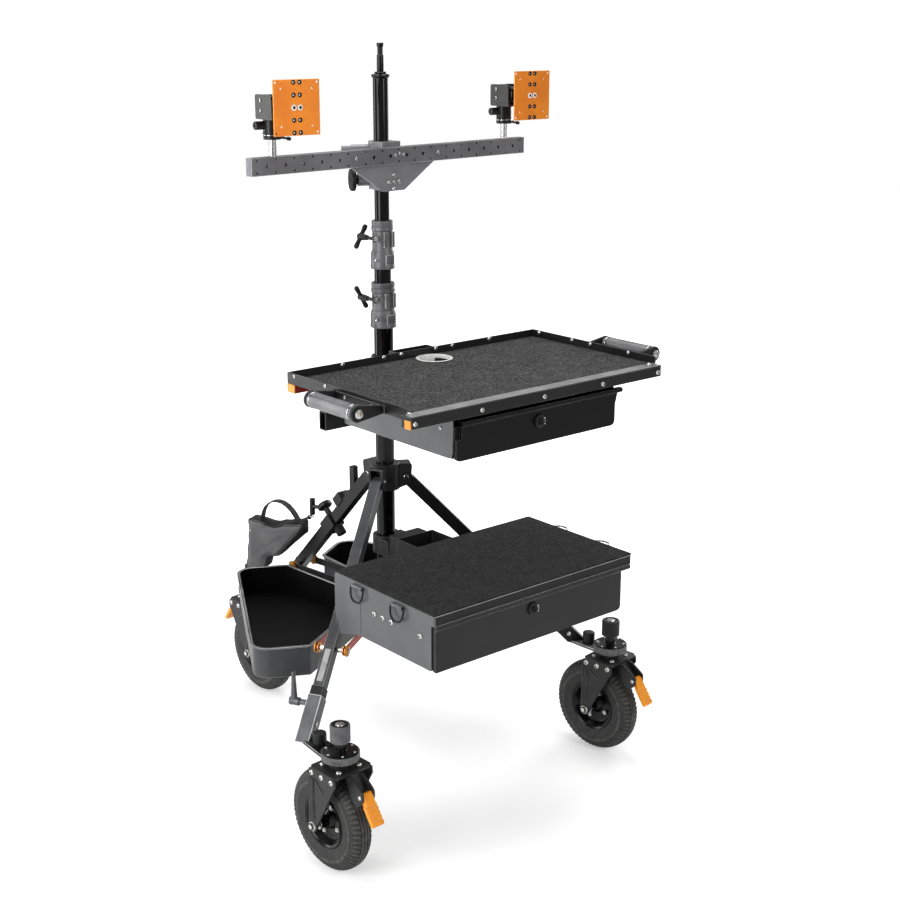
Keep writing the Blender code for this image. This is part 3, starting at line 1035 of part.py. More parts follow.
def leg_lower(side, az):
    place = leg_frame(az)
    w = SLEEVE_W / 2
    d = SLEEVE_D / 2
    x, y, fork_az = CASTER_AT[side]
    s0 = LEG_SLEEVE_S
    pivot = tuple(place @ Vector((s0, 0, 0)))
    leg = node("leg_lower_" + side, moved(block(s0, LEG_FOOT_S + 0.040, -w, w, -d, d, radius=0.002, along="x",
                                                segments=1), place), "sheet_grey" if side == "left" else "matt_black",
               pivot)
    join(leg, moved(block(s0 - 0.022, s0 + 0.001, -w + 0.002, w - 0.002, -d + 0.002, d - 0.002), place))
    bw = LEG_W / 2 + RUN
    bd = LEG_D / 2 + RUN
    cut(leg, moved(block(s0 - 0.030, LEG_FOOT_S - 0.010, -bw, bw, -bd, bd), place))
    foot = polar(az, LEG_PIVOT_R + LEG_FOOT_S * math.cos(LEG_SLOPE), 0, 0)
    cut(leg, block(foot.x - 0.1, foot.x + 0.1, foot.y - 0.1, foot.y + 0.1, ARM_Z - 0.08, ARM_Z + ARM_T / 2))
    disc = Vector((x, y, 0))
    start = Vector((foot.x, foot.y, 0))
    way = (disc - start).normalized()
    span = (disc - start).length
    arm_frame = frame((start.x, start.y, ARM_Z), (0, 0, 1), way)
    ra = ARM_HALF_W
    rb = DISC_R * 0.72
    lean = math.asin((rb - ra) / span)
    near = [(ra * math.cos(a), ra * math.sin(a)) for a in
            [math.pi / 2 + lean + (math.pi - 2 * lean) * k / 5 for k in range(6)]]
    far = [(span + rb * math.cos(a), rb * math.sin(a)) for a in
           [-math.pi / 2 - lean + (math.pi + 2 * lean) * k / 8 for k in range(9)]]
    join(leg, slab(near + far, ARM_T, arm_frame))
    knuckle = start + way * (span * 0.40)
    join(leg, rod((knuckle.x, knuckle.y, ARM_Z + ARM_T - 0.001), (knuckle.x, knuckle.y, ARM_Z + ARM_T + 0.030),
                  ARM_HALF_W * 0.82, 12))
    turn = Matrix.Translation((x, y, 0)) @ Matrix.Rotation(fork_az, 4, "Z")
    disc_z = ARM_Z + ARM_T - 0.001
    top = disc_z + DISC_H
    r = DISC_R
    knob_top = KNOB_Z + KNOB_H
    join(leg, moved(lathe([(0, disc_z), (r, disc_z), (r, top - 0.004), (r - 0.003, top), (0.012, top),
                           (0.012, KNOB_Z), (KNOB_R, KNOB_Z), (KNOB_R, knob_top - 0.002),
                           (KNOB_R - 0.002, knob_top), (0, knob_top)], 16), turn))
    cut(leg, moved(rod((0, 0, ARM_Z - 0.01), (0, 0, ARM_Z + 0.018), bore(KINGPIN_R, 12), 12), turn))
    side_off = -w
    join(leg, dome(place @ Vector((LEG_FOOT_S - 0.028, side_off, 0)), place.to_3x3() @ Vector((0, -1, 0)), 0.006,
                   0.003))
    k = RATCHET_SIDE[side]
    boss = s0 + LEG_LEVER_UP
    join(leg, moved(rod((boss, k * (w - 0.001), 0), (boss, k * (w + 0.006), 0), 0.009, 12), place))
    cut(leg, moved(rod((boss, k * (LEG_W / 2 - 0.001), 0), (boss, k * (w + 0.007), 0), bore(0.004, 16), 16), place))
    PIVOTS["leg_" + side] = pivot
    PIVOTS["leg_axis_" + side] = tuple(place.to_3x3() @ Vector((1, 0, 0)))
    # Ratchet lever that locks the sleeve
    out = w + 0.006 + GAP
    start = place @ Vector((boss, k * out, 0))
    axis = (place.to_3x3() @ Vector((0, k, 0))).normalized()
    hub_profile = [(0, 0.040), (0.0085, 0.040), (0.0095, 0.038), (0.0095, 0.016), (0.0065, 0.014), (0.0065, 0.0),
                   (0.004, 0.0), (0.004, -0.0095), (0, -0.0095)]
    lever = node("leg_lever_" + side, lathe(hub_profile, 12, frame(start, axis)), "matt_black", tuple(start))
    elbow = start + axis * 0.029
    up = elbow + Vector((0, 0, 0.071))
    join(lever, rod(elbow + Vector((0, 0, 0.004)), up, 0.0058, 8, radius_b=0.0048))
    PIVOTS["lever_" + side] = tuple(start)
    PIVOTS["lever_axis_" + side] = tuple(axis)
    return leg


# Caster: fork with its king pin and axle, pneumatic wheel, and the brake lever
def caster(side):
    x, y, az = CASTER_AT[side]
    turn = Matrix.Translation((x, y, 0)) @ Matrix.Rotation(az, 4, "Z")
    half = FORK_PLATE_L / 2
    hw = FORK_HALF_W
    low = FORK_TOP - FORK_PLATE_T
    pivot = (x, y, FORK_TOP)
    fork = node("caster_fork_" + side, moved(block(-half, half, -hw, hw, low, FORK_TOP, radius=0.008, along="z"),
                                             turn), "matt_black", pivot)
    t = -WHEEL_TRAIL
    z = WHEEL_R
    r = FORK_FOOT_R
    foot_arc = [(t + r * math.cos(a), z + r * math.sin(a)) for a in
                [math.radians(12 - 204 * k / 6) for k in range(7)]]
    cheek = [(half - 0.002, low + 0.001), (half, low - 0.014)] + foot_arc + [(-half, low - 0.020), (-half, low + 0.001)]
    for s in (-1, 1):
        outer = hw + 0.0004 if s > 0 else FORK_SIDE_T - hw - 0.0004
        plate = slab(cheek, FORK_SIDE_T, frame((0, outer, 0), (0, -1, 0)))
        join(fork, moved(plate, turn))
        a, b = sorted((s * (hw - 0.0013), s * (hw + 0.0025)))
        join(fork, moved(block(t - 0.004, t + 0.004, a, b, z + 0.020, low - 0.020), turn))
        join(fork, moved(merged(*[dome((dx, s * hw, low - 0.006), (0, s, 0), 0.0055, 0.003, 6)
                                  for dx in (-0.033, 0.0, 0.033)]), turn))
        a, b = sorted((s * (hw - 0.001), s * AXLE_HALF))
        join(fork, moved(rod((t, a, z), (t, b, z), AXLE_R * 1.5, 10), turn))
    join(fork, moved(rod((t, -hw + 0.001, z), (t, hw - 0.001, z), AXLE_R, 12), turn))
    join(fork, moved(lathe([(0, FORK_TOP - 0.001), (0.024, FORK_TOP - 0.001), (0.024, ARM_Z - GAP),
                            (KINGPIN_R, ARM_Z - GAP), (KINGPIN_R, ARM_Z + 0.016), (0, ARM_Z + 0.016)], 12), turn))
    bx = BRAKE_X
    bz = BRAKE_Z
    inner = BRAKE_HALF_W + GAP
    ear = fillet([(half - 0.006, low + 0.001), (half - 0.006, low - 0.012), (bx - 0.022, bz - 0.022),
                  (bx - 0.008, bz - 0.026), (bx + 0.009, bz - 0.008), (bx + 0.009, bz + 0.010), (bx - 0.004, bz + 0.020),
                  (half + 0.012, low + 0.001)], [0, 0, 0.004, 0.004, 0.006, 0.006, 0, 0], 1)
    for y0 in (-inner, inner + BRAKE_CHEEK):
        join(fork, moved(slab(ear, BRAKE_CHEEK, frame((0, y0, 0), (0, -1, 0))), turn))
    join(fork, moved(slab([(half - 0.006, low + 0.001), (half - 0.001, low + 0.001), (bx - 0.016, bz + 0.004),
                           (bx - 0.021, bz + 0.004)], 2 * inner + 0.002, frame((0, inner + 0.001, 0), (0, -1, 0))),
                     turn))
    join(fork, moved(rod((bx, -inner - BRAKE_CHEEK - 0.001, bz), (bx, inner + BRAKE_CHEEK + 0.001, bz),
                         BRAKE_PIN_R, 8), turn))
    PIVOTS["fork_" + side] = pivot

    # Wheel, turned about its axle
    h = WHEEL_W / 2
    hub_bore = bore(AXLE_R, 22)
    ring = [(hub_bore, 0.040), (0.020, 0.040), (0.020, 0.006), (0.055, 0.006), (0.057, h * 0.9), (0.094, h),
            (0.111, h * 0.62), (WHEEL_R, h * 0.20)]
    loop = ring + [(a, -b) for a, b in reversed(ring)]
    hub_at = turn @ Vector((t, 0, z))
    side_way = turn.to_3x3() @ Vector((0, 1, 0))
    node("caster_wheel_" + side, lathe(loop, 22, frame(hub_at, side_way, (0, 0, 1))), "rubber", tuple(hub_at),
         smooth=False)
    PIVOTS["wheel_" + side] = tuple(hub_at)
    PIVOTS["wheel_axis_" + side] = tuple(side_way)

    # Brake lever: hub between the ears and a ribbed pad that slopes down and out
    hinge = turn @ Vector((bx, 0, bz))
    slope = math.radians(-56.5)
    pad_frame = turn @ frame((bx, 0, bz), (0, -1, 0), (math.cos(slope), 0, math.sin(slope)))
    w = BRAKE_HALF_W
    hubs = [(0.0065 * math.cos(a), 0.0065 * math.sin(a)) for a in [math.pi * (0.5 + k / 6) for k in range(7)]]
    neck = hubs + [(0.024, -0.0065), (0.024, 0.0065)]
    brake = node("brake_lever_" + side, slab(neck, 2 * w, pad_frame @ Matrix.Translation((0, 0, -w))), "orange",
                 tuple(hinge))
    ridges = [(0.022, -0.005), (0.068, -0.004), (0.069, 0.003)]
    for k in range(4):
        s = 0.065 - k * 0.010
        ridges += [(s, 0.0055), (s - 0.006, 0.0055), (s - 0.007, 0.0035), (s - 0.009, 0.0035)]
    ridges += [(0.022, 0.0065)]
    w = BRAKE_PAD_HALF
    join(brake, slab(ridges, 2 * w, pad_frame @ Matrix.Translation((0, 0, -w))))
    cut(brake, moved(rod((0, -w - 0.001, 0), (0, w + 0.001, 0), bore(BRAKE_PIN_R, 8), 8),
                     turn @ Matrix.Translation((bx, 0, bz))))
    PIVOTS["brake_" + side] = tuple(hinge)


uppers = {side: leg_upper(side, az) for side, az in LEG_AZ.items()}
for side, az in LEG_AZ.items():
    leg_lower(side, az)
    caster(side)

# Fittings on the back leg: block and flat lever, collar with a star knob, bag hook
az = LEG_AZ["back"]
place = leg_frame(az)
leg = uppers["back"]
join(leg, moved(block(0.140, 0.172, -0.015, 0.015, 0.010, 0.034, radius=0.003, along="y"), place))
side_plane = plane_frame(az, 0.007)
join(leg, slab(fillet([(0.112, 0.660), (0.130, 0.655), (0.156, 0.655), (0.156, 0.664), (0.130, 0.676), (0.130, 0.738),
                       (0.113, 0.738)], [0.003, 0.003, 0.001, 0.002, 0.004, 0.003, 0.003], 2), 0.014, side_plane))
join(leg, moved(block(0.216, 0.262, -0.018, 0.018, -0.020, 0.020, radius=0.003, along="x"), place))
cut(leg, moved(block(0.200, 0.280, LEG_WALL - LEG_W / 2, LEG_W / 2 - LEG_WALL, LEG_WALL - LEG_D / 2,
                     LEG_D / 2 - LEG_WALL), place))
join(leg, moved(rod((0.225, 0, -0.018), (0.225, 0, -0.042), 0.013, 10), place))
join(leg, moved(rod((0.230, 0, 0.018), (0.230, 0, 0.046), 0.008, 12), place))
knob = lathe([(0, 0.014), (0.017, 0.014), (0.020, 0.010), (0.020, 0.003), (0.016, 0), (0, 0)], 10,
             place @ Matrix.Translation((0.230, 0, 0.042)))
join(leg, knob)
join(leg, rod(polar(az, 0.240, 0, 0.597), polar(az, 0.289, 0, 0.592), 0.0055, 8))
join(leg, rod(polar(az, 0.293, 0, 0.570), polar(az, 0.292, 0, 0.612), 0.0075, 8))

# Brace frame: disc on the lower tube and two flat bars to each leg, with the bolts
disc_z = BRACE_Z_IN - BRACE_DISC_H / 2
braces = node("brace_frame", rod((0, 0, disc_z), (0, 0, disc_z + BRACE_DISC_H), BRACE_DISC_R, 20), "red")
bars = []
for az in LEG_AZ.values():
    h = BRACE_W / 2
    fall = (BRACE_Z_IN - BRACE_Z_OUT) / (BRACE_R_OUT - 0.024)
    tip = [(BRACE_R_OUT + h * math.cos(a), BRACE_Z_OUT + h * math.sin(a)) for a in
           [-math.pi / 2 + math.pi * k / 4 for k in range(5)]]
    bar_line = [(0.030, BRACE_Z_IN + h * 0.9), (0.030, BRACE_Z_IN - h * 0.9)] + tip
    for s in (-1, 1):
        off = s * BRACE_OFF - BRACE_T / 2
        bars.append(slab(bar_line, BRACE_T, plane_frame(az, off + BRACE_T)))
for bm in bars:
    join(braces, bm)
for az in LEG_AZ.values():
    ends = [polar(az, BRACE_R_OUT, s * (BRACE_OFF + 0.01), BRACE_Z_OUT) for s in (-1, 1)]
    cut(braces, rod(ends[0], ends[1], BRACE_BOLT_R + GAP, 8))
cut(braces, rod((0, 0, disc_z - 0.01), (0, 0, disc_z + BRACE_DISC_H + 0.01), LOWER_TUBE_R + GAP, 20))


# Leg bins: open tubs that fill the two rear sectors, walls beside the legs follow them
def leg_bin(name, az, beside):
    turn = Matrix.Rotation(az, 4, "Z")
    corner_r = [0.012, BIN_CORNER_R, BIN_CORNER_R, 0.012, 0.010, 0.010]

    def outline(inset):
        n = [(BIN_CORNER, -BIN_HALF), (BIN_OUT, -BIN_HALF), (BIN_OUT, BIN_HALF), (BIN_CORNER, BIN_HALF),
             (BIN_NOSE, BIN_NOSE_HALF), (BIN_NOSE, -BIN_NOSE_HALF)]
        slope = math.hypot(BIN_CORNER - BIN_NOSE, BIN_HALF - BIN_NOSE_HALF)
        run = (BIN_CORNER - BIN_NOSE) / slope
        rise = (BIN_HALF - BIN_NOSE_HALF) / slope
        k = inset * (1 - rise) / run
        e = inset * (1 - run) / rise
        moved_points = [(n[0][0] + k, -BIN_HALF + inset), (BIN_OUT - inset, -BIN_HALF + inset),
                        (BIN_OUT - inset, BIN_HALF - inset), (n[3][0] + k, BIN_HALF - inset),
                        (BIN_NOSE + inset, BIN_NOSE_HALF - e), (BIN_NOSE + inset, -BIN_NOSE_HALF + e)]
        return fillet(moved_points, [max(r - inset, 0.002) for r in corner_r], 2)

    low = BIN_RIM_Z - BIN_DEPTH
    tub = node(name, slab(outline(BIN_RIM), BIN_DEPTH, turn @ Matrix.Translation((0, 0, low))), "sheet_grey")
    join(tub, slab(outline(0), 0.004, turn @ Matrix.Translation((0, 0, BIN_RIM_Z - 0.004))))
    # Hanger tabs that lean on the brace bars of the legs on both sides
    for side, s in beside:
        leg_az = LEG_AZ[side]
        ends = []
        for u, v in ((BIN_NOSE, BIN_NOSE_HALF), (BIN_CORNER, BIN_HALF)):
            a = leg_az - az
            v = v if math.sin(a) > 0 else -v
            ends.append((u * math.cos(a) + v * math.sin(a), v * math.cos(a) - u * math.sin(a)))
        share = (BIN_TAB_R - ends[0][0]) / (ends[1][0] - ends[0][0])
        wall_off = ends[0][1] + share * (ends[1][1] - ends[0][1])
        a, b = sorted((s * (BRACE_OFF + BRACE_T / 2 + GAP), wall_off + s * (BIN_RIM - 0.001)))
        half = BIN_TAB_L / 2
        join(tub, moved(block(BIN_TAB_R - half, BIN_TAB_R + half, a, b, BIN_RIM_Z - 0.0035, BIN_RIM_Z + BIN_TAB_H),
                        Matrix.Rotation(leg_az, 4, "Z")))
    cut(tub, slab(outline(BIN_RIM + BIN_WALL), BIN_DEPTH, turn @ Matrix.Translation((0, 0, low + BIN_WALL))))
    return tub


leg_bin("bin_left", BIN_AZ["left"], (("back", 1), ("left", -1)))
leg_bin("bin_back", BIN_AZ["back"], (("back", -1), ("right", 1)))

# Bag: stitched front and back outlines with a sagging body, a carrying loop on top
BAG_AT = (-0.057, 0.276)
BAG_ALONG = math.radians(117)
BAG_FRONT = [(0, 0.552), (0.018, 0.522), (0.066, 0.450), (0.108, 0.440), (0.122, 0.406), (0.186, 0.404),
             (0.180, 0.470), (0.170, 0.552), (0.085, 0.546)]
BAG_BACK = [(0.002, 0.566), (-0.004, 0.526), (0.068, 0.450), (0.108, 0.440), (0.122, 0.406), (0.182, 0.404),
            (0.178, 0.470), (0.168, 0.556), (0.085, 0.556)]
BAG_THICK = 0.045
bag_frame = Matrix.Translation((BAG_AT[0], BAG_AT[1], 0)) @ Matrix.Rotation(BAG_ALONG, 4, "Z")
bag_bm = bmesh.new()
front = [bag_bm.verts.new(bag_frame @ Vector((t, 0, z))) for t, z in BAG_FRONT]
belly = [bag_bm.verts.new(bag_frame @ Vector(((a[0] + b[0]) / 2, -BAG_THICK / 2, (a[1] + b[1]) / 2)))
         for a, b in zip(BAG_FRONT, BAG_BACK)]
rear_ring = [bag_bm.verts.new(bag_frame @ Vector((t, -BAG_THICK, z))) for t, z in BAG_BACK]
bag_bm.faces.new(front)
bag_bm.faces.new(rear_ring)
for a, b in ((front, belly), (belly, rear_ring)):
    for i in range(len(a)):
        j = (i + 1) % len(a)
        bag_bm.faces.new((a[i], a[j], b[j], b[i]))
bmesh.ops.triangulate(bag_bm, faces=[f for f in bag_bm.faces if len(f.verts) > 4])
bmesh.ops.recalc_face_normals(bag_bm, faces=bag_bm.faces)
bag = node("bag", bag_bm, "cloth")
outer_arch = [(0.132, 0.545), (0.126, 0.570), (0.112, 0.592), (0.088, 0.603), (0.060, 0.598), (0.038, 0.580),
              (0.022, 0.556), (0.016, 0.545)]
inner_arch = [(0.019, 0.545), (0.025, 0.555), (0.041, 0.578), (0.061, 0.5955), (0.088, 0.600), (0.110, 0.590),
              (0.1235, 0.569), (0.129, 0.545)]
join(bag, slab(outer_arch + inner_arch, 0.022, bag_frame @ frame((0, -0.010, 0), (0, -1, 0))))
join(bag, slab([(0.000, 0.558), (0.010, 0.560), (0.006, 0.5665), (-0.004, 0.5665)], 0.010,
               bag_frame @ frame((0, -0.036, 0), (0, -1, 0))))

# All joins and cuts, in the order in which the pieces above ask for them
for obj, tool, operation in STEPS:
    mod = obj.modifiers.new(operation.lower(), "BOOLEAN")
    mod.operation = operation
    mod.solver = "EXACT"
    mod.object = tool
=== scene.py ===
from math import asin, atan, atan2, cos, exp, hypot, pi, radians, sin, tan

import bpy
from mathutils import Matrix, Vector


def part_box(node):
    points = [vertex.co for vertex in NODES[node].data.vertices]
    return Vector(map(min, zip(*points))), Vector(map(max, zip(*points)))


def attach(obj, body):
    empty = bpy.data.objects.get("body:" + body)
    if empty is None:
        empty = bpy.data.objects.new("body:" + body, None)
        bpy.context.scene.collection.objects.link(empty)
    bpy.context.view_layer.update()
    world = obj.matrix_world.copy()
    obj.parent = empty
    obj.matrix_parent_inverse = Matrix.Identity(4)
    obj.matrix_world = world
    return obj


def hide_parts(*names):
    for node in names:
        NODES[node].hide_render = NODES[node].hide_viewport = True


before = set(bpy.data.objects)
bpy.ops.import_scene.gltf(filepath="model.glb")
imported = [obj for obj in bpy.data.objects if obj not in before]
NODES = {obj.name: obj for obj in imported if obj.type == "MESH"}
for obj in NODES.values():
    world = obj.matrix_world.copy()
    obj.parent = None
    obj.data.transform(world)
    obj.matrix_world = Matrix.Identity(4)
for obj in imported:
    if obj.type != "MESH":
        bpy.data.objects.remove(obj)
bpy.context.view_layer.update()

# The mast's axis is where the cart is measured from: every section below gives its places
# from that axis and from the floor, and CART carries them to where the frame has the mast.
tube_low, tube_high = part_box("mast_tube_lower")
CART = Matrix.Translation(((tube_low.x + tube_high.x) / 2, (tube_low.y + tube_high.y) / 2, 0))


# Camera: a long portrait lens at standing height, in front of the cart's left corner. Its
# place and its angles were solved from the photograph, and are measured from the mast.
CAMERA_AT = (-2.1113, -2.7599, 1.8054)
CAMERA_YAW = radians(40.0)
CAMERA_PITCH = radians(-16.09)
CAMERA_LENS = 59.9
camera_data = bpy.data.cameras.new("camera")
camera_data.lens = CAMERA_LENS
camera_data.sensor_width = 36.0
camera_data.clip_end = 60.0
camera = bpy.data.objects.new("camera", camera_data)
bpy.context.scene.collection.objects.link(camera)
look = Vector((sin(CAMERA_YAW) * cos(CAMERA_PITCH), cos(CAMERA_YAW) * cos(CAMERA_PITCH), sin(CAMERA_PITCH)))
camera.rotation_euler = look.to_track_quat("-Z", "Y").to_euler()
camera.location = CART @ Vector(CAMERA_AT)
bpy.context.scene.camera = camera
bpy.context.scene.view_settings.view_transform = "Standard"


# Studio floor: white seamless paper under the cart. The paper and the air behind it read as
# white to the camera, and the floor keeps the soft shadow under the wheels.
def colour(hex_value):
    """An sRGB hex value as the linear colour that a shader takes."""
    parts = [int(hex_value[i:i + 2], 16) / 255 for i in (1, 3, 5)]
    linear = [p / 12.92 if p <= 0.04045 else ((p + 0.055) / 1.055) ** 2.4 for p in parts]
    return (*linear, 1.0)


def add(tree, kind, values=None, links=None, **settings):
    """Adds one node to a tree with its settings, its socket values and the links into it."""
    made = tree.nodes.new("ShaderNode" + kind)
    for key, value in settings.items():
        setattr(made, key, value)
    for key, value in (values or {}).items():
        made.inputs[key].default_value = value
    return fed(made, links or {})


def fed(node, links):
    """Links each source into a socket of a node; a node as a source gives its first output."""
    for key, source in links.items():
        node.id_data.links.new(getattr(source, "outputs", [source])[0], node.inputs[key])
    return node


FLOOR_SIDE = 24.0
FLOOR_LIFT = 0.3
GLOW_FROM, GLOW_FULL = 1.0, 2.6
AIR_ON_CART = 0.42
bpy.ops.object.select_all(action="DESELECT")
bpy.ops.mesh.primitive_plane_add(size=FLOOR_SIDE, location=(0, 0, -0.0005))
floor = bpy.context.object
floor.name = "studio_floor"


def finish(name, **values):
    """A new material with its tree and its shader, which takes the plain values given here."""
    made = bpy.data.materials.new(name)
    made.use_nodes = True
    shader = made.node_tree.nodes["Principled BSDF"]
    for key, value in values.items():
        shader.inputs[key.replace("_", " ").replace("Specular", "Specular IOR Level")].default_value = value
    return made, made.node_tree, shader


# Matt white paper: no shine of its own, so that the wheels leave only a soft grey shadow on it.
paper, tree, shader = finish("white_paper_floor", Base_Color=colour("#f2f2f2"), Roughness=0.9, Specular=0.1)
ray = add(tree, "LightPath")
spot = add(tree, "TexCoord").outputs["Object"]
away = add(tree, "VectorMath", None, {0: spot}, operation="LENGTH")
lift = add(tree, "MapRange", {"From Min": GLOW_FROM, "From Max": GLOW_FULL, "To Min": FLOOR_LIFT,
    "To Max": 1.0}, {"Value": away.outputs["Value"]})
power = add(tree, "Math", None, {0: ray.outputs["Is Camera Ray"], 1: lift}, operation="MULTIPLY")
glow = add(tree, "Emission", {"Color": colour("#ffffff")}, {"Strength": power})
both = add(tree, "AddShader", None, {0: shader, 1: glow})
fed(tree.nodes["Material Output"], {"Surface": both})
floor.data.materials.append(paper)

world = bpy.data.worlds.new("studio")
world.use_nodes = True
bpy.context.scene.world = world
tree = world.node_tree
air = tree.nodes["Background"]
ray = add(tree, "LightPath")
seen = add(tree, "Math", None, {0: ray.outputs["Is Camera Ray"], 1: ray.outputs["Is Transmission Ray"]},
    operation="MAXIMUM")
level = add(tree, "MapRange", {"To Min": AIR_ON_CART, "To Max": 1.0}, {"Value": seen})
air.inputs["Color"].default_value = colour("#ffffff")
fed(air, {"Strength": level})


# Lamps: large softboxes, the stronger one on the cart's left, a broad top light, and a narrow
# strip behind the left side that draws a bright line down each round tube.
def softbox(name, at, aim, width, height, power):
    data = bpy.data.lights.new(name, "AREA")
    data.shape = "RECTANGLE"
    data.size = width
    data.size_y = height
    data.energy = power
    lamp = bpy.data.objects.new(name, data)
    lamp.location = at
    lamp.rotation_euler = (Vector(aim) - Vector(at)).to_track_quat("-Z", "Y").to_euler()
    lamp.visible_camera = False
    bpy.context.scene.collection.objects.link(lamp)


softbox("softbox_left", (-3.6, -0.6, 1.9), (0, -0.1, 0.8), 2.0, 2.6, 97)
softbox("softbox_front", (0.8, -4.2, 2.4), (0, 0, 0.9), 0.9, 2.2, 50)
softbox("softbox_top", (0.3, 0.6, 4.2), (0, 0, 0.7), 2.6, 2.6, 95)
softbox("softbox_right", (3.4, 0.8, 1.6), (0, 0, 0.7), 1.2, 2.2, 42)
softbox("strip_left", (-2.1, 2.5, 1.4), (0, 0, 1.1), 0.6, 2.6, 38)


# Mast: three drawn aluminium tubes that slide in each other, each with a gloss black powder
# coat. The top one carries a turned collar and the camera spigot.
def surface(name, base, second, roughness, metallic=0.0, patch_mm=40, grain_mm=0.8, spread=0.08, bump=0.05,
        wear_dust_and_highlight_colour=None, wear_dust_and_highlight_level=1.0, specular=0.5):
    """A hard finish: tone that drifts in patches, a fine grain in gloss and relief, pale edges for wear and
    painted highlight.
    """
    made, tree, shader = finish(name, Metallic=metallic, Specular=specular)
    place = add(tree, "TexCoord").outputs["Object"]
    patches = add(tree, "TexNoise", {"Scale": 1000 / patch_mm, "Detail": 4.0, "Roughness": 0.6},
        {"Vector": place})
    grain = add(tree, "TexNoise", {"Scale": 1000 / grain_mm, "Detail": 2.0}, {"Vector": place})
    tone = add(tree, "MapRange", {"From Min": 0.35, "From Max": 0.65}, {"Value": patches})
    mixed = add(tree, "Mix", {6: colour(base), 7: colour(second)}, {0: tone}, data_type="RGBA")
    # Marked faces take a pale colour: partly real wear and dust, partly a painted highlight on edges and
    # ribs.
    if wear_dust_and_highlight_colour:
        edge = add(tree, "Attribute", attribute_name="wear_dust_and_highlight").outputs["Fac"]
        amount = add(tree, "MapRange", {"From Min": 0.35, "From Max": 0.6, "To Min": 0.3 * wear_dust_and_highlight_level,
            "To Max": wear_dust_and_highlight_level}, {"Value": patches})
        wear_dust_and_highlight_mix = add(tree, "Math", None, {0: edge, 1: amount}, operation="MULTIPLY")
        mixed = add(tree, "Mix", {7: colour(wear_dust_and_highlight_colour)}, {0: wear_dust_and_highlight_mix, 6: mixed.outputs[2]}, data_type="RGBA")
    fed(shader, {"Base Color": mixed.outputs[2]})
    gloss = add(tree, "MapRange", {"To Min": max(roughness - spread, 0.02), "To Max": roughness + spread},
        {"Value": grain})
    fed(shader, {"Roughness": gloss})
    relief = add(tree, "Bump", {"Strength": bump, "Distance": grain_mm / 1000}, {"Height": grain})
    fed(shader, {"Normal": relief})
    return made


def chosen(*objects):
    """Selects these objects alone, with the first one active."""
    bpy.ops.object.select_all(action="DESELECT")
    for obj in objects:
        obj.select_set(True)
    bpy.context.view_layer.objects.active = objects[0]
    return objects[0]


def edited(*steps):
    """Takes the active object through mesh operators, each on all that the mesh holds."""
    bpy.ops.object.mode_set(mode="EDIT")
    for step, settings in steps:
        bpy.ops.mesh.select_all(action="SELECT")
        step(**settings)
    bpy.ops.object.mode_set(mode="OBJECT")
    return bpy.context.object


MERGED = (bpy.ops.mesh.remove_doubles, {"threshold": 0.00001})
OUTWARDS = (bpy.ops.mesh.normals_make_consistent, {"inside": False})


def turned(profile, sides=64, unit=0.001):
    """A ring of points dragged to half of a turned part's outline, in mm, spun round Z and merged."""
    bpy.ops.object.select_all(action="DESELECT")
    bpy.ops.mesh.primitive_circle_add(vertices=len(profile))
    for vertex, (radius, height) in zip(bpy.context.object.data.vertices, profile):
        vertex.co = (radius * unit, 0, height * unit)
    spun = (bpy.ops.mesh.spin, {"steps": sides, "angle": 2 * pi, "center": (0, 0, 0), "axis": (0, 0, 1)})
    loose = (bpy.ops.mesh.delete_loose, {"use_verts": True, "use_edges": True, "use_faces": False})
    return edited(spun, MERGED, loose, OUTWARDS)


def along(start, end, side=(1, 0, 0)):
    """Matrix that lays a part's Z from start towards end, its X near side."""
    z = (Vector(end) - Vector(start)).normalized()
    x = Vector(side) - z * z.dot(Vector(side))
    x = z.orthogonal().normalized() if x.length < 1e-4 else x.normalized()
    matrix = Matrix((x, z.cross(x), z)).transposed().to_4x4()
    matrix.translation = Vector(start)
    return matrix


def modified(obj, kind, **settings):
    """Adds one modifier to an object with its settings, and applies it."""
    chosen(obj)
    modifier = obj.modifiers.new(kind, kind)
    for key, value in settings.items():
        setattr(modifier, key, value)
    bpy.ops.object.modifier_apply(modifier=modifier.name)
    return obj


def softened(obj, width=0.0006, segments=2, angle=32):
    """Breaks the sharp edges by a small radius and smooths what is round.

    The narrow faces of the radius are marked: a finish wears bright there, and the mark also paints a
    highlight line."""
    chosen(obj)
    slots = obj.data.materials
    if width > 0:
        slots.clear()
        slots.append(None)
        slots.append(None)
        modified(obj, "BEVEL", material=1, width=width, segments=segments, limit_method="ANGLE",
            angle_limit=radians(angle), use_clamp_overlap=True)
    bpy.ops.object.shade_smooth_by_angle(angle=radians(angle + 3))
    if width > 0:
        modified(obj, "WEIGHTED_NORMAL", keep_sharp=True)
        # The mark makes the bevel faces pale: wear, and a painted highlight along each edge.
        marks = obj.data.attributes.get("wear_dust_and_highlight") or obj.data.attributes.new("wear_dust_and_highlight", "FLOAT", "FACE")
        for face, mark in zip(obj.data.polygons, marks.data):
            if face.material_index == 1:
                mark.value = 1.0
            face.material_index = 0
        slots.clear()
    return obj


def joined(*objects):
    """Parts that are one piece in the eye, as one object."""
    chosen(*objects)
    if len(objects) > 1:
        bpy.ops.object.join()
    return bpy.context.object


def laid(obj, matrix):
    """Moves a part's mesh to its place, so that its object stays at the origin."""
    chosen(obj).matrix_world = matrix
    bpy.ops.object.transform_apply(location=True, rotation=True, scale=True)
    return obj


def shift(x=0.0, y=0.0, z=0.0):
    return Matrix.Translation((x, y, z))


def swing(degrees, axis="Z"):
    return Matrix.Rotation(radians(degrees), 4, axis)


def piece(obj, name, body, material, *nodes):
    """Names a finished part, gives it its finish and its body, and the CAD nodes it stands for."""
    laid(obj, CART)
    obj.name = obj.data.name = name
    obj.data.materials.clear()
    obj.data.materials.append(material)
    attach(obj, body)
    if nodes:
        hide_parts(*nodes)
    return obj


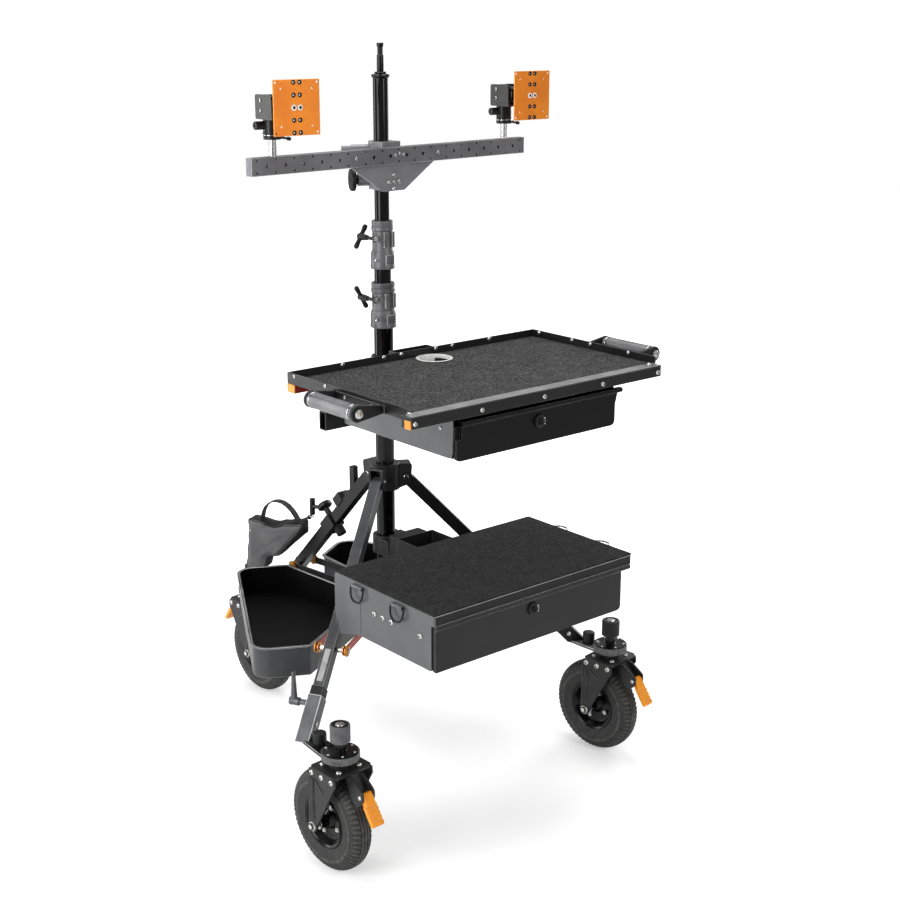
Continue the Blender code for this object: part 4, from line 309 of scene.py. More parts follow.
# Powder coat baked to a high gloss: near black, with sharp bright lines down each tube.
GLOSS_BLACK = surface("gloss_black_powder_coat", "#020203", "#050506", 0.13, patch_mm=160, grain_mm=0.9,
    spread=0.04, bump=0.02, specular=0.25)
tube_wall = 0.0025
LOWER_R = 0.0225
MIDDLE_R = 0.02
TOP_R = 0.0175


def tube(radius, bottom, top):
    lip = 0.0006
    return turned([(radius - tube_wall, bottom), (radius - lip, bottom), (radius, bottom + lip),
        (radius, top - lip), (radius - lip, top), (radius - tube_wall, top)], unit=1)


piece(softened(tube(LOWER_R, 0.415, 1.128), 0), "mast_lower_tube", "base", GLOSS_BLACK, "mast_tube_lower")
piece(softened(tube(MIDDLE_R, 0.8, 1.266), 0), "mast_middle_tube", "mast_middle", GLOSS_BLACK,
    "mast_tube_middle")
# The spigot's head flares a little over a fine neck; below it sits a flange and a dished collar.
tip = 1.7526
top = 1.6754
spigot = turned([(0, tip), (0.0066, tip), (0.008, tip - 0.0014), (0.0076, tip - 0.0075),
    (0.0064, tip - 0.009), (0.0062, tip - 0.024), (0.0064, tip - 0.026), (0.0078, tip - 0.0275),
    (0.008, top + 0.02), (0.0076, top + 0.015), (0.0125, top + 0.014), (0.0135, top + 0.013),
    (0.0135, top + 0.011), (0.0125, top + 0.01), (0.0195, top + 0.0085), (0.021, top + 0.0072),
    (0.021, top + 0.005), (0.02, top + 0.003), (TOP_R, top), (TOP_R, 0.9005), (TOP_R - 0.0006, 0.9),
    (TOP_R - tube_wall, 0.9), (TOP_R - tube_wall, top - 0.012), (0, top - 0.01)], 72, 1)
piece(softened(spigot, 0, angle=28), "mast_top_tube", "mast_top", GLOSS_BLACK, "mast_top")


# Mast clamps: grey cast collars at the heads of the two outer tubes. Each has a split ear with
# a through bolt, a raised band and panel, and a small screw near its foot.
def prism(points, depth):
    """A ring dragged to a flat outline, filled and extruded by its depth."""
    bpy.ops.object.select_all(action="DESELECT")
    bpy.ops.mesh.primitive_circle_add(vertices=len(points), fill_type="NGON")
    for vertex, point in zip(bpy.context.object.data.vertices, points):
        vertex.co = (point[0], point[1], 0)
    return edited((bpy.ops.mesh.extrude_region_move, {"TRANSFORM_OT_translate": {"value": (0, 0, depth)}}),
        OUTWARDS)


def slab(x0, x1, y0, y1, z0, z1):
    """A cube primitive pulled to six faces."""
    bpy.ops.object.select_all(action="DESELECT")
    bpy.ops.mesh.primitive_cube_add(size=1)
    obj = bpy.context.object
    for vertex in obj.data.vertices:
        vertex.co = (x0 if vertex.co.x < 0 else x1, y0 if vertex.co.y < 0 else y1,
            z0 if vertex.co.z < 0 else z1)
    return obj


def pin(start, end, radius, sides=32):
    """A plain round bar between two points."""
    length = (Vector(end) - Vector(start)).length
    bpy.ops.object.select_all(action="DESELECT")
    bpy.ops.mesh.primitive_cylinder_add(vertices=sides, radius=radius, depth=length,
        location=(0, 0, length / 2))
    obj = bpy.context.object
    bpy.ops.object.transform_apply(location=True, rotation=True, scale=True)
    return laid(obj, along(start, end))


def cut(obj, *tools):
    """Cuts tools out of a part and throws them away."""
    tool = joined(*tools)
    modified(obj, "BOOLEAN", operation="DIFFERENCE", solver="EXACT", object=tool)
    bpy.data.objects.remove(tool)
    return obj


def screw(at, normal, radius=0.0045, height=0.0026):
    """A button-head screw with a hexagon socket."""
    head = turned([(0, 0), (radius, 0), (radius, height * 0.25), (radius * 0.86, height * 0.72),
        (radius * 0.6, height), (radius * 0.42, height), (radius * 0.42, height * 0.35),
        (0, height * 0.3)], 18, 1)
    return laid(softened(head, 0), along(at, Vector(at) + Vector(normal)))


# Thin grey coat on sand-cast aluminium: a little rough, its edges pale where hands rub them and with painted
# highlight.
CAST_GREY = surface("cast_aluminium_grey_coat", "#505052", "#6a6a6c", 0.42, metallic=0.35, patch_mm=30,
    spread=0.1, bump=0.18, wear_dust_and_highlight_colour="#b4b4b4")
# Zinc-plated steel: small bright heads with soft reflections.
BRIGHT_SCREW = surface("zinc_plated_screws", "#b9b9b6", "#d6d6d2", 0.26, metallic=1.0, patch_mm=6,
    grain_mm=0.7)
ear_out = 0.037
ear_half = 0.015


def mast_clamp(name, body, tube_r, next_r, foot, height):
    """The collar of one tube's head; gives back where its through bolt runs."""
    outer = tube_r + 0.0075
    neck = next_r + 0.0075
    head = foot + height
    play = 0.0003
    collar = turned([(next_r + 2 * play, head), (neck - 0.001, head), (neck, head - 0.001),
        (neck, head - 0.009), (outer - 0.0035, head - 0.012), (outer - 0.002, head - 0.014),
        (outer - 0.002, head - 0.022), (outer - 0.0038, head - 0.024),
        (outer - 0.0038, foot + height * 0.4), (outer - 0.0015, foot + height * 0.36),
        (outer - 0.0005, foot + height * 0.32), (outer, foot + height * 0.28), (outer, foot + 0.008),
        (outer + 0.0008, foot + 0.006), (outer + 0.0008, foot + 0.001), (outer, foot),
        (tube_r + play, foot), (tube_r + play, head - 0.02), (next_r + 2 * play, head - 0.018)], 72, 1)
    low, high = foot + height * 0.1, foot + height * 0.93
    ear = slab(-ear_out, -outer + 0.006, -ear_half, ear_half, low, high)
    slit = slab(-ear_out - 0.001, -outer + 0.003, -0.0011, 0.0011, low - 0.001, high + 0.001)
    stud_x = -(outer + ear_out) / 2 + 0.0005
    stud_z = foot + height * 0.645
    step = slab(-ear_out - 0.001, -ear_out + 0.004, -ear_half - 0.001, ear_half + 0.001,
        foot + height * 0.3, foot + height * 0.5)
    hole = pin((stud_x, -0.03, stud_z), (stud_x, 0.03, stud_z), 0.0042)
    softened(cut(ear, slit, step, hole), 0.0012)
    panel = softened(slab(-0.012, 0.012, -outer - 0.0012, -outer + 0.004, foot + height * 0.09,
        foot + height * 0.3), 0.0015)
    ribs = [softened(slab(-0.004 + dx, 0.004 + dx, -outer - 0.0004, -outer + 0.005, foot + height * 0.45,
        foot + height * 0.78), 0.001) for dx in (-0.011, 0.011)]
    boss = softened(pin((stud_x, -ear_half, stud_z), (stud_x, -ear_half - 0.0002, stud_z), 0.0085), 0)
    piece(joined(softened(collar, 0, angle=25), ear, panel, *ribs, boss), name, body, CAST_GREY, name)
    nut = softened(pin((stud_x, -ear_half - 0.0035, stud_z), (stud_x, -ear_half + 0.001, stud_z), 0.0062,
        6), 0.0004)
    foot_screw = screw((-ear_out + 0.006, -ear_half, foot + height * 0.2), (0, -1, 0), 0.004, 0.003)
    piece(joined(nut, foot_screw), name + "_screws", body, BRIGHT_SCREW)
    return stud_x, stud_z


lower_stud = mast_clamp("mast_clamp_lower", "base", LOWER_R, MIDDLE_R, 1.107, 0.106)
upper_stud = mast_clamp("mast_clamp_upper", "mast_middle", MIDDLE_R, TOP_R, 1.2455, 0.1115)


# T-handles: glass-filled nylon bars with a waist, moulded on a turned steel stud, that draw
# the two halves of each clamp ear together.

# Glass-filled nylon as it leaves the mould: dull black, fine grain, paler edges from rubbing and painted
# highlight.
MOULDED_BLACK = surface("glass_filled_nylon_black", "#0d0d0e", "#161617", 0.46, patch_mm=20, grain_mm=0.7,
    bump=0.12, wear_dust_and_highlight_colour="#5c5c5c", wear_dust_and_highlight_level=0.8, specular=0.3)
tee_lean = radians(31)


def mirrored(half):
    """A profile's upper half, followed by its mirror image."""
    return half + [(radius, -height) for radius, height in reversed(half)]


def tee_handle(name, stud, lean):
    """One handle with its stud, leaning in the plane of the clamp's ear."""
    x, z = stud
    start = ear_half + 0.0003
    shank = laid(turned([(0, 33), (6.2, 33), (7.5, 31.5), (7.8, 18), (7.2, 9), (6, 6), (6, 0), (4, 0),
        (4, -28), (0, -28)], 32), along((x, start, z), (x, start + 1, z)))
    grip = [(0, 31), (3, 30.6), (5.2, 28.8), (6.2, 25), (5.6, 18), (5, 10), (6, 4)]
    bar = turned(mirrored(grip), 32)
    middle = Vector((x, start + 0.026, z))
    laid(bar, along(middle, middle + Vector((sin(lean), 0, cos(lean)))))
    piece(joined(softened(shank, 0, angle=40), softened(bar, 0, angle=60)), name, name, MOULDED_BLACK, name)


tee_handle("tee_handle_lower", lower_stud, -tee_lean)
tee_handle("tee_handle_upper", upper_stud, tee_lean)


# Cross bar: drilled rectangular bar of anodised aluminium, with two rows of small holes and a
# middle row of larger ones. Bright screws hold it to the bracket behind it.

# Extruded aluminium, blasted and anodised: an even dark grey satin with lighter corners.
ANODISED_GREY = surface("dark_grey_anodised_aluminium", "#646468", "#747478", 0.38, metallic=0.35,
    patch_mm=90, grain_mm=0.9, spread=0.1, bump=0.1, wear_dust_and_highlight_colour="#a0a0a0", wear_dust_and_highlight_level=0.9)
BAR = CART @ swing(4.62) @ shift(z=1.508)
bar_left, bar_right = -0.417, 0.413
bar_front, bar_back = -0.062, -0.042
bar_half = 0.019
hole_pitch = 0.05
hole_row = 0.013


def in_bar(obj, name, material, body="bar", *nodes):
    """A part given in the bar's own frame, handed over at its place on the cart."""
    laid(obj, CART.inverted() @ BAR)
    return piece(obj, name, body, material, *nodes)


drill = []
for first, row, count, radius, sides in ((0.015, -hole_row, 17, 0.0026, 16),
        (0.015, hole_row, 17, 0.0026, 16), (0.04, 0, 16, 0.0043, 20)):
    for x in [bar_left + first + i * hole_pitch for i in range(count)]:
        drill.append(pin((x, bar_front - 0.001, row), (x, bar_back + 0.001, row), radius, sides))
post_along = (-0.353, 0.351)
post_depth = (bar_front + bar_back) / 2
drill += [pin((x, post_depth, -0.012), (x, post_depth, bar_half + 0.001), 0.0083) for x in post_along]
bar = softened(slab(bar_left, bar_right, bar_front, bar_back, -bar_half, bar_half), 0.0014, 3)
in_bar(softened(cut(bar, *drill), 0.0004, 1, angle=40), "crossbar", ANODISED_GREY, "bar", "crossbar")
bar_screws = [screw((x, bar_front, z), (0, -1, 0), r, 0.003)
    for x, z, r in ((-0.13, 0, 0.0046), (0.12, 0, 0.0046), (-0.013, 0.001, 0.004), (-0.001, 0.004, 0.004),
    (0.011, 0.001, 0.004))]
in_bar(joined(*bar_screws), "crossbar_screws", BRIGHT_SCREW)


# Bracket: grey coated plate behind the bar, with two clamp rings round the mast. A cross of
# small screws shows under the bar, and a knob on the far side tightens the rings.
def refined(node, width=0.0006, segments=2, angle=32):
    """A merged copy of a CAD node, with the small radius that its folded or milled edges have."""
    chosen(NODES[node])
    bpy.ops.object.duplicate()
    obj = bpy.context.object
    obj.parent = None
    for key in list(obj.keys()):
        del obj[key]
    edited(MERGED, (bpy.ops.mesh.dissolve_limited, {"angle_limit": radians(1.0)}))
    return laid(softened(obj, width, segments, angle), CART.inverted())


def dressed(node, body, material, width=0.0006, segments=2):
    """A CAD node's own shape as the finished piece of the same name."""
    return piece(refined(node, width, segments), node, body, material, node)


# Fine-textured powder coat on steel: black with dry, broad highlights.
MATT_BLACK = surface("matt_black_powder_coat", "#0d0d0e", "#151516", 0.46, metallic=0.1, patch_mm=60,
    grain_mm=0.9, spread=0.09, bump=0.14, wear_dust_and_highlight_colour="#6e6e6e", wear_dust_and_highlight_level=0.8, specular=0.3)
# Satin grey coat on cut plate: smooth, a shade lighter than the bar.
BRACKET_GREY = surface("satin_grey_bracket_plate", "#78787b", "#86868a", 0.36, metallic=0.35, patch_mm=60,
    grain_mm=0.9, spread=0.09, bump=0.12, wear_dust_and_highlight_colour="#a8a8a8", wear_dust_and_highlight_level=0.9)
dressed("bar_bracket", "bar", BRACKET_GREY, 0.0007)
cross_pitch = 0.0155
cross = [screw((cross_pitch * dx, bar_back + 0.0003, -0.06 + cross_pitch * dz), (0, -1, 0), 0.0056, 0.0034)
    for dx, dz in ((0, 0), (1, 0), (-1, 0), (0, 1), (0, -1))]
in_bar(joined(*cross), "bracket_screws", BRIGHT_SCREW)

# The knob that tightens the bracket: a flat moulded disc with nine finger scallops on a stud,
# which runs into the bracket's lower ring from the side.
knob_azimuth = radians(155)
knob_way = Vector((cos(knob_azimuth), sin(knob_azimuth), 0))
knob_start = knob_way * 0.0563 + Vector((0, 0, 1.451))


def circle(count, radius):
    """Points spread evenly round the Z axis."""
    turns = [2 * pi * k / count for k in range(count)]
    return [(radius * cos(a), radius * sin(a)) for a in turns]


knob = turned([(0, 19), (9, 19), (10, 18), (22.5, 18), (25, 16.5), (26, 14), (26, 9), (24.5, 6.5), (12, 6),
    (10.5, 4.5), (10, 0), (4, 0), (4, -30), (0, -30)], 72)
cut(knob, *[pin((x, y, 0), (x, y, 0.03), 0.0042, 16) for x, y in circle(9, 0.0285)])
laid(knob, along(knob_start, knob_start + knob_way))
piece(softened(knob, 0.0004, angle=40), "bar_knob", "bar_knob", MOULDED_BLACK, "bar_knob")


# Posts and monitor heads: polished steel posts in the bar, black milled heads that pan on them,
# and the drilled orange plates that tilt between the cheeks of each head.

# Ground and polished steel rod: mirror-like, faintly streaked.
POLISHED_STEEL = surface("polished_steel_rod", "#a9a9a8", "#c9c9c8", 0.2, metallic=1.0, patch_mm=12,
    grain_mm=0.5, spread=0.06, bump=0.02)
# Milled aluminium anodised black: satin black with thin bright edges.
HEAD_BLACK = surface("black_anodised_milled_aluminium", "#131314", "#1d1d1e", 0.32, metallic=0.45,
    grain_mm=0.6, spread=0.07, wear_dust_and_highlight_colour="#8a8a8a", specular=0.4)
# Orange anodised sheet: strong even colour with a metallic sheen under it.
ORANGE = surface("orange_anodised_aluminium", "#ee8a1c", "#e07a12", 0.42, metallic=0.35, patch_mm=55,
    grain_mm=0.5, bump=0.04, wear_dust_and_highlight_colour="#f7b566", wear_dust_and_highlight_level=0.6)
# White nylon: two small pale matt rings in the middle of the plate.
WHITE_WASHER = surface("white_nylon_washer", "#e9e6df", "#dcd8cf", 0.45, patch_mm=5, grain_mm=0.6)
head_yaw = {"left": -1.4, "right": 0.0}
tilt_back = -0.03
tilt_z = 1.631
plate_face = -0.068
plate_half = 0.056
pair_half = 0.0075
for side, x in zip(("left", "right"), post_along):
    at = CART.inverted() @ BAR @ Vector((x, post_depth, 0))
    head = shift(at.x, at.y) @ swing(head_yaw[side])
    post = turned([(0, 1600), (7, 1600), (8, 1599), (8, 1495.5), (0, 1495.5)], 32)
    laid(post, head)
    piece(softened(post, 0), "post_" + side, "bar", POLISHED_STEEL, "post_" + side)
    body = "monitor_head_" + side
    dressed(body, body, HEAD_BLACK, 0.0007)
    flange = turned([(7, 1604.4), (18.5, 1604.4), (20, 1605), (20, 1607.2), (18.5, 1607.8), (7, 1607.8)], 48)
    ring = turned([(18.2, 1570), (18.9, 1570.4), (18.9, 1571.6), (18.2, 1572)], 48)
    piece(laid(softened(joined(flange, ring), 0), head), body + "_rings", body, POLISHED_STEEL)
    block_screws = [screw((s * 0.0282, -0.002, z), (s, 0, 0)) for s in (-1, 1) for z in (1.642, 1.622)]
    block_screws.append(screw((-0.0185, 0.006, 1.573), (-1, 0, 0), 0.0032, 0.0022))
    piece(laid(joined(*block_screws), head), body + "_screws", body, BRIGHT_SCREW)
    socket = turned([(0, 21.5), (3.4, 21.5), (3.4, 26), (7.8, 26), (8.8, 25), (8.8, 2), (9.5, 1), (9.5, 0),
        (0, 0)], 30)
    laid(socket, head @ along((-0.012, 0.006, 1.591), (-1, 0.006, 1.591)))
    lever = pin((0.012, -0.004, 1.566), (0.03, -0.012, 1.563), 0.0024, 16)
    tip = turned([(0, 0), (3.4, 0.6), (4.2, 4), (3.6, 9), (0, 10.5)], 20)
    laid(tip, along((0.028, -0.0112, 1.5633), (0.04, -0.0165, 1.5613)))
    laid(joined(lever, tip), head)
    piece(softened(joined(bpy.context.object, socket), 0, angle=40), body + "_bolt_and_lever", body,
        MOULDED_BLACK)

    plate_body = "monitor_plate_" + side
    tilt = head @ shift(0, tilt_back, tilt_z)
    pane = softened(slab(-plate_half, plate_half, plate_face, plate_face + 0.003, -plate_half, plate_half),
        0.0012, 2)
    drill = [pin((a * d, plate_face - 0.001, b * d), (a * d, plate_face + 0.004, b * d), r, 20)
        for a in (-1, 1) for b in (-1, 1) for d, r in ((0.05, 0.0026), (0.0375, 0.0022))]
    eyelets = []
    for x, z in [(a * pair_half, k * 0.025) for a in (-1, 1) for k in (-2, -1, 1, 2)]:
        drill.append(pin((x, plate_face - 0.001, z), (x, plate_face + 0.004, z), 0.0038, 20))
        eyelet = turned([(2.1, 0), (3.6, 0), (3.6, -2.9), (5, -2.9), (5, -3.6), (2.4, -3.6), (2.1, -3.2)], 20)
        eyelets.append(laid(eyelet, along((x, plate_face + 0.003, z), (x, plate_face + 1, z))))
    cut(pane, *drill)
    piece(laid(softened(joined(*eyelets), 0), tilt), plate_body + "_eyelets", plate_body, HEAD_BLACK)
    piece(laid(softened(pane, 0.0002, 1, 40), tilt), plate_body, plate_body, ORANGE, plate_body)
    hub = turned(mirrored([(0, 19.7), (18, 19.7), (19, 18.7)]), 48)
    laid(hub, along((0, 0, 0), (1, 0, 0)))
    neck = softened(slab(-0.015, 0.015, plate_face + 0.0031, -0.01, -0.016, 0.016), 0.0015)
    piece(laid(softened(joined(hub, neck), 0), tilt), plate_body + "_hub", plate_body, HEAD_BLACK)
    washers = [laid(turned([(2.2, 0), (6.2, 0), (6.2, 1), (5.6, 1.4), (2.2, 1.4)], 28),
        along((x, plate_face, 0), (x, plate_face - 1, 0))) for x in (-pair_half, pair_half)]
    piece(laid(softened(joined(*washers), 0), tilt), plate_body + "_washers", plate_body, WHITE_WASHER)
    studs = [screw((x, plate_face - 0.0006, 0), (0, -1, 0), 0.0032, 0.0022) for x in (-pair_half, pair_half)]
    piece(laid(joined(*studs), tilt), plate_body + "_screws", plate_body, HEAD_BLACK)


# Work tray: a folded steel pan, powder coated black, with a raised rim on three sides that
# small button screws hold to its brackets, and a turned cable cup let into the back edge.

# Powder coat on folded sheet steel: satin black, its bends pale from rubbing and from painted highlight.
SHEET_BLACK = surface("black_powder_coat_sheet", "#0f0f10", "#171718", 0.38, metallic=0.1, patch_mm=120,
    bump=0.1, wear_dust_and_highlight_colour="#9a9a9a", specular=0.4)
tray_half = 0.3607
tray_back = -0.1287
rail_front = -0.5521
rail_back = -0.5231
rim_top = 1.0744
felt_top = 1.0575
dressed("tray_pan", "tray", SHEET_BLACK)
rim_line = rim_top - 0.0055
rim_screws = [screw((s * x, tray_back - 0.003, rim_line), (0, -1, 0), 0.0054, 0.0034) for s in (-1, 1)
    for x in (0.051, 0.101, 0.216)]
rim_screws += [screw((s * (tray_half - 0.003), y, rim_line), (-s, 0, 0), 0.005, 0.0032) for s in (-1, 1)
    for y in (-0.155, -0.269, -0.33, -0.452)]
rim_screws += [screw((-tray_half, y, rim_line), (-1, 0, 0), 0.0043, 0.0022) for y in (-0.155, -0.269)]
piece(joined(*rim_screws), "tray_rim_screws", "tray", BRIGHT_SCREW)

# Moulded light grey plastic: a pale soft ring in the dark felt.
CUP_LINER = surface("moulded_grey_liner", "#c9c9c6", "#dcdcd9", 0.42, patch_mm=20, grain_mm=0.6)
cup = shift(0.012, -0.174)
liner = turned([(0.0362, 1.031), (0.0378, 1.031), (0.0379, felt_top + 0.0006), (0.0405, felt_top + 0.001),
    (0.042, felt_top + 0.0014), (0.0425, felt_top + 0.0022), (0.0405, felt_top + 0.0028),
    (0.037, felt_top + 0.0026), (0.0362, felt_top + 0.0012)], 72, 1)
# The cables leave through a window in the liner's wall, on the side away from the user.
cut(liner, laid(slab(0.03, 0.048, -0.017, 0.017, 1.03, 1.0515), swing(22)))
piece(laid(softened(liner, 0, angle=30), cup), "cable_cup_liner", "tray", CUP_LINER)
cup_floor = turned([(8.5, 1029.5), (35.8, 1029.5), (36.1, 1030), (36.1, 1031.2), (9, 1030.8)], 48)
piece(laid(softened(cup_floor, 0), cup), "cable_cup_floor", "tray", MOULDED_BLACK)


# Felt: a 4 mm needle-punched mat, black with pale flecks, cut to the pan and round the cup. It
# is glued down flat inside the rim.
def pile(name, base, fleck, fibre_mm, bump, sheen):
    """Short matted fibres: flecks of two tones and a fuzzy relief."""
    made, tree, shader = finish(name, Roughness=0.95, Specular=0.08, Sheen_Weight=sheen, Sheen_Roughness=0.6)
    place = add(tree, "TexCoord").outputs["Object"]
    stretched = add(tree, "Mapping", {"Scale": (1.0, 0.55, 1.0), "Rotation": (0, 0, 0.5)},
        {"Vector": place})
    fibres = add(tree, "TexNoise", {"Scale": 1000 / fibre_mm, "Detail": 6.0, "Roughness": 0.75,
        "Distortion": 1.2}, {"Vector": stretched})
    clumps = add(tree, "TexNoise", {"Scale": 1000 / (fibre_mm * 9), "Detail": 3.0}, {"Vector": place})
    drift = add(tree, "MapRange", {"To Min": 0.92, "To Max": 1.08}, {"Value": clumps})
    shade = add(tree, "Math", None, {0: fibres, 1: drift}, operation="MULTIPLY")
    tone = add(tree, "MapRange", {"From Min": 0.44, "From Max": 0.66}, {"Value": shade})
    mixed = add(tree, "Mix", {6: colour(base), 7: colour(fleck)}, {0: tone}, data_type="RGBA")
    fed(shader, {"Base Color": mixed.outputs[2]})
    relief = add(tree, "Bump", {"Strength": bump, "Distance": fibre_mm / 1000}, {"Height": fibres})
    fed(shader, {"Normal": relief})
    return made


# Matted polyester fibres, drawn 3.4 mm long so that they show: a dry black with pale flecks.
FELT = pile("needle_punched_black_felt", "#080808", "#747474", 3.4, 1.0, 0.04)
felt_gap = 0.0034
felt = slab(felt_gap - tray_half, tray_half - felt_gap, rail_back + 0.0006, tray_back - felt_gap, 1.0534,
    felt_top)
edited((bpy.ops.mesh.subdivide, {"number_cuts": 12}))
cut(felt, laid(pin((0, 0, 1.045), (0, 0, 1.07), 0.0398, 72), cup))
felt = piece(softened(felt, 0.0012, 2, 60), "tray_felt", "tray", FELT, "tray_felt")


# Front rail: black extrusion whose ground top edge shines, closed by black ends; the left one
# has a small orange corner. Round-head screws go into its face and two into its top.

# Bare ground aluminium: a thin light line that catches the lamps; the same pale colour paints highlights on
# the lid.
PALE_METAL_AND_PAINTED_HIGHLIGHT = surface("ground_aluminium_and_painted_highlight", "#9d9d9d", "#b8b8b8", 0.32, metallic=0.8, grain_mm=0.4, bump=0.03)
# Black anodised extrusion: darker and smoother than the coated pan.
RAIL_BLACK = surface("black_anodised_extrusion", "#0e0e0f", "#161617", 0.34, metallic=0.4, patch_mm=120,
    grain_mm=0.5, spread=0.06, bump=0.04, wear_dust_and_highlight_colour="#777777", wear_dust_and_highlight_level=0.8)
# Moulded orange plastic: bright, a little yellow, without a metal sheen.
ORANGE_CAP = surface("moulded_orange_end_cap", "#f39a22", "#e98b16", 0.38, patch_mm=18, grain_mm=0.6)
rail_low = 1.0325
rail_top = 1.058
rail_end = tray_half - 0.005
rail = prism([(rail_front, rail_low), (rail_front, rail_top - 0.0022),
    (rail_front + 0.0012, rail_top - 0.001), (rail_back, rail_top - 0.001), (rail_back, rail_low),
    (rail_back - 0.004, rail_low), (rail_back - 0.004, rail_top - 0.006),
    (rail_front + 0.004, rail_top - 0.006), (rail_front + 0.004, rail_low)], 2 * rail_end)
laid(rail, along((-rail_end, 0, 0), (1, 0, 0), (0, 1, 0)))
piece(softened(rail, 0.0005), "tray_front_rail", "tray", RAIL_BLACK, "tray_front_rail")
strip = slab(-rail_end, rail_end, rail_front + 0.001, rail_back, rail_top - 0.0011, rail_top)
piece(softened(strip, 0.0004), "tray_rail_top_edge", "tray", PALE_METAL_AND_PAINTED_HIGHLIGHT)
rail_screws = [screw((x, rail_front, rail_low + 0.01), (0, -1, 0), 0.0055, 0.004)
    for x in (-0.348, -0.174, 0, 0.174, 0.348)]
rail_screws += [screw((s * 0.345, rail_back - 0.006, rail_top), (0, 0, 1), 0.0055, 0.0034) for s in (-1, 1)]
piece(joined(*rail_screws), "tray_rail_screws", "tray", BRIGHT_SCREW)
ends = []
for s in (-1, 1):
    x0, x1 = sorted((s * rail_end, s * (tray_half - 0.0008)))
    ends.append(softened(slab(x0, x1, rail_front, rail_back, rail_low, rail_top - 0.0002), 0.001, 3))
piece(joined(*ends), "tray_rail_ends", "tray", RAIL_BLACK)
cap_side = 0.0178
cap = slab(-tray_half, -rail_end - 0.0015, rail_front - 0.0002, rail_front + cap_side, rail_low - 0.0002,
    rail_low + cap_side)
piece(softened(cap, 0.0012, 3), "tray_rail_cap", "tray", ORANGE_CAP)


# Rear rail: a channel screwed under the pan's back edge, closed at both ends by moulded orange
# caps. Its dark red is painted shade: the shaded side of the orange part.

# Painted shade: a deep metallic red for the shaded side of the orange part, seen only as a line.
REAR_RAIL_PAINTED_SHADE = surface("dark_red_painted_shade_rail", "#8f2a22", "#7a1f19", 0.36, metallic=0.55, patch_mm=60,
    grain_mm=0.5, spread=0.07, bump=0.03, wear_dust_and_highlight_colour="#d58a80", wear_dust_and_highlight_level=0.6)
dressed("tray_rear_rail", "tray", REAR_RAIL_PAINTED_SHADE, 0.0005)
rear_caps = [softened(slab(*sorted((s * (tray_half - 0.0005), s * (tray_half + 0.0012))),
    tray_back - 0.0278, tray_back - 0.0002, 1.0309, 1.0495), 0.0006) for s in (-1, 1)]
piece(joined(*rear_caps), "tray_rear_rail_ends", "tray", ORANGE_CAP)


# Side handles: knurled aluminium grips, each between two black steel plates on an end of the
# tray. Bright rings and a shiny bolt close the grip where it meets its plates.
def knurled(name):
    """Anodised grip with a fine diamond knurl that follows its length."""
    made = surface(name, "#6c6c6e", "#828284", 0.34, metallic=0.5, grain_mm=0.5, bump=0.03)
    tree = made.node_tree
    place = add(tree, "TexCoord").outputs["Object"]
    knurl_mm = 2.4
    # At this scale the ridges come 4.7 mm apart: the real 2.4 mm ones are too fine to show.
    rows = [add(tree, "TexWave", {"Scale": 1000 / knurl_mm / 6.283, "Distortion": 0.0},
        {"Vector": add(tree, "Mapping", {"Rotation": (turn, 0, 0)}, {"Vector": place})},
        bands_direction="Y") for turn in (0.6, -0.6)]
    height = add(tree, "Math", None, {0: rows[0].outputs[1], 1: rows[1].outputs[1]}, operation="MULTIPLY")
    relief = add(tree, "Bump", {"Strength": 0.55, "Distance": 0.0006}, {"Height": height})
    fed(tree.nodes["Principled BSDF"], {"Normal": relief})
    return made


KNURL_GREY = knurled("knurled_grey_grip")
handle_x = 0.426
handle_z = 1.06
grip_front = -0.465
grip_back = -0.315
nose_r = 0.0175
for side, s in (("left", -1), ("right", 1)):
    name = "tray_handle_" + side
    mid = s * handle_x
    grip = turned([(0, 0), (14, 0), (15.8, 1.5), (15.8, 6), (15, 7.5), (15, 11), (16.5, 12.5),
        (16.5, 137.5), (15, 139), (15, 142.5), (15.8, 144), (15.8, 148.5), (14, 150), (0, 150)], 48)
    laid(grip, along((mid, grip_front, handle_z), (mid, 0, handle_z)))
    piece(softened(grip, 0, angle=30), name + "_grip", "tray", KNURL_GREY, name)
    inner = s * (tray_half + 0.0003)
    plates = []
    for y in (grip_back + 0.0065, grip_front - 0.0005):
        nose = [(s * (handle_x + nose_r * sin(a)), handle_z + nose_r * cos(a))
            for a in [pi * k / 14 for k in range(15)]]
        web = prism([(inner, handle_z + 0.008)] + nose + [(inner, handle_z - 0.009)], 0.006)
        laid(web, along((0, y, 0), (0, -1, 0), (1, 0, 0)))
        plates.append(softened(edited(OUTWARDS), 0.0008))
    foot = softened(slab(*sorted((inner, inner + s * 0.005)), grip_front - 0.012, grip_back + 0.018,
        handle_z - 0.009, handle_z + 0.008), 0.0012)
    piece(joined(*plates, foot), name + "_plates", "tray", MATT_BLACK)
    rings = [laid(turned([(14, 0), (17, 0), (17.4, 0.6), (17.4, 2.6), (17, 3.2), (14, 3.2)], 48),
        along((mid, y, handle_z), (mid, y + 1, handle_z)))
        for y in (grip_front + 0.0076, grip_back - 0.0108)]
    piece(softened(joined(*rings), 0), name + "_rings", "tray", POLISHED_STEEL)
    bolt = turned([(0, 3.6), (4, 3.6), (4.6, 6.2), (8, 5.8), (9.4, 4), (9.4, 0), (0, 0)], 32)
    laid(bolt, along((mid, grip_front - 0.0065, handle_z), (mid, grip_front - 1, handle_z)))
    small = screw((mid, grip_back + 0.0065, handle_z), (0, 1, 0), 0.0055, 0.0036)
    feet = [screw((inner + s * 0.005, y, handle_z), (s, 0, 0), 0.0036, 0.0022)
        for y in (grip_front + 0.03, grip_back - 0.03)]
    piece(joined(softened(bolt, 0), small, *feet), name + "_screws", "tray", BRIGHT_SCREW)


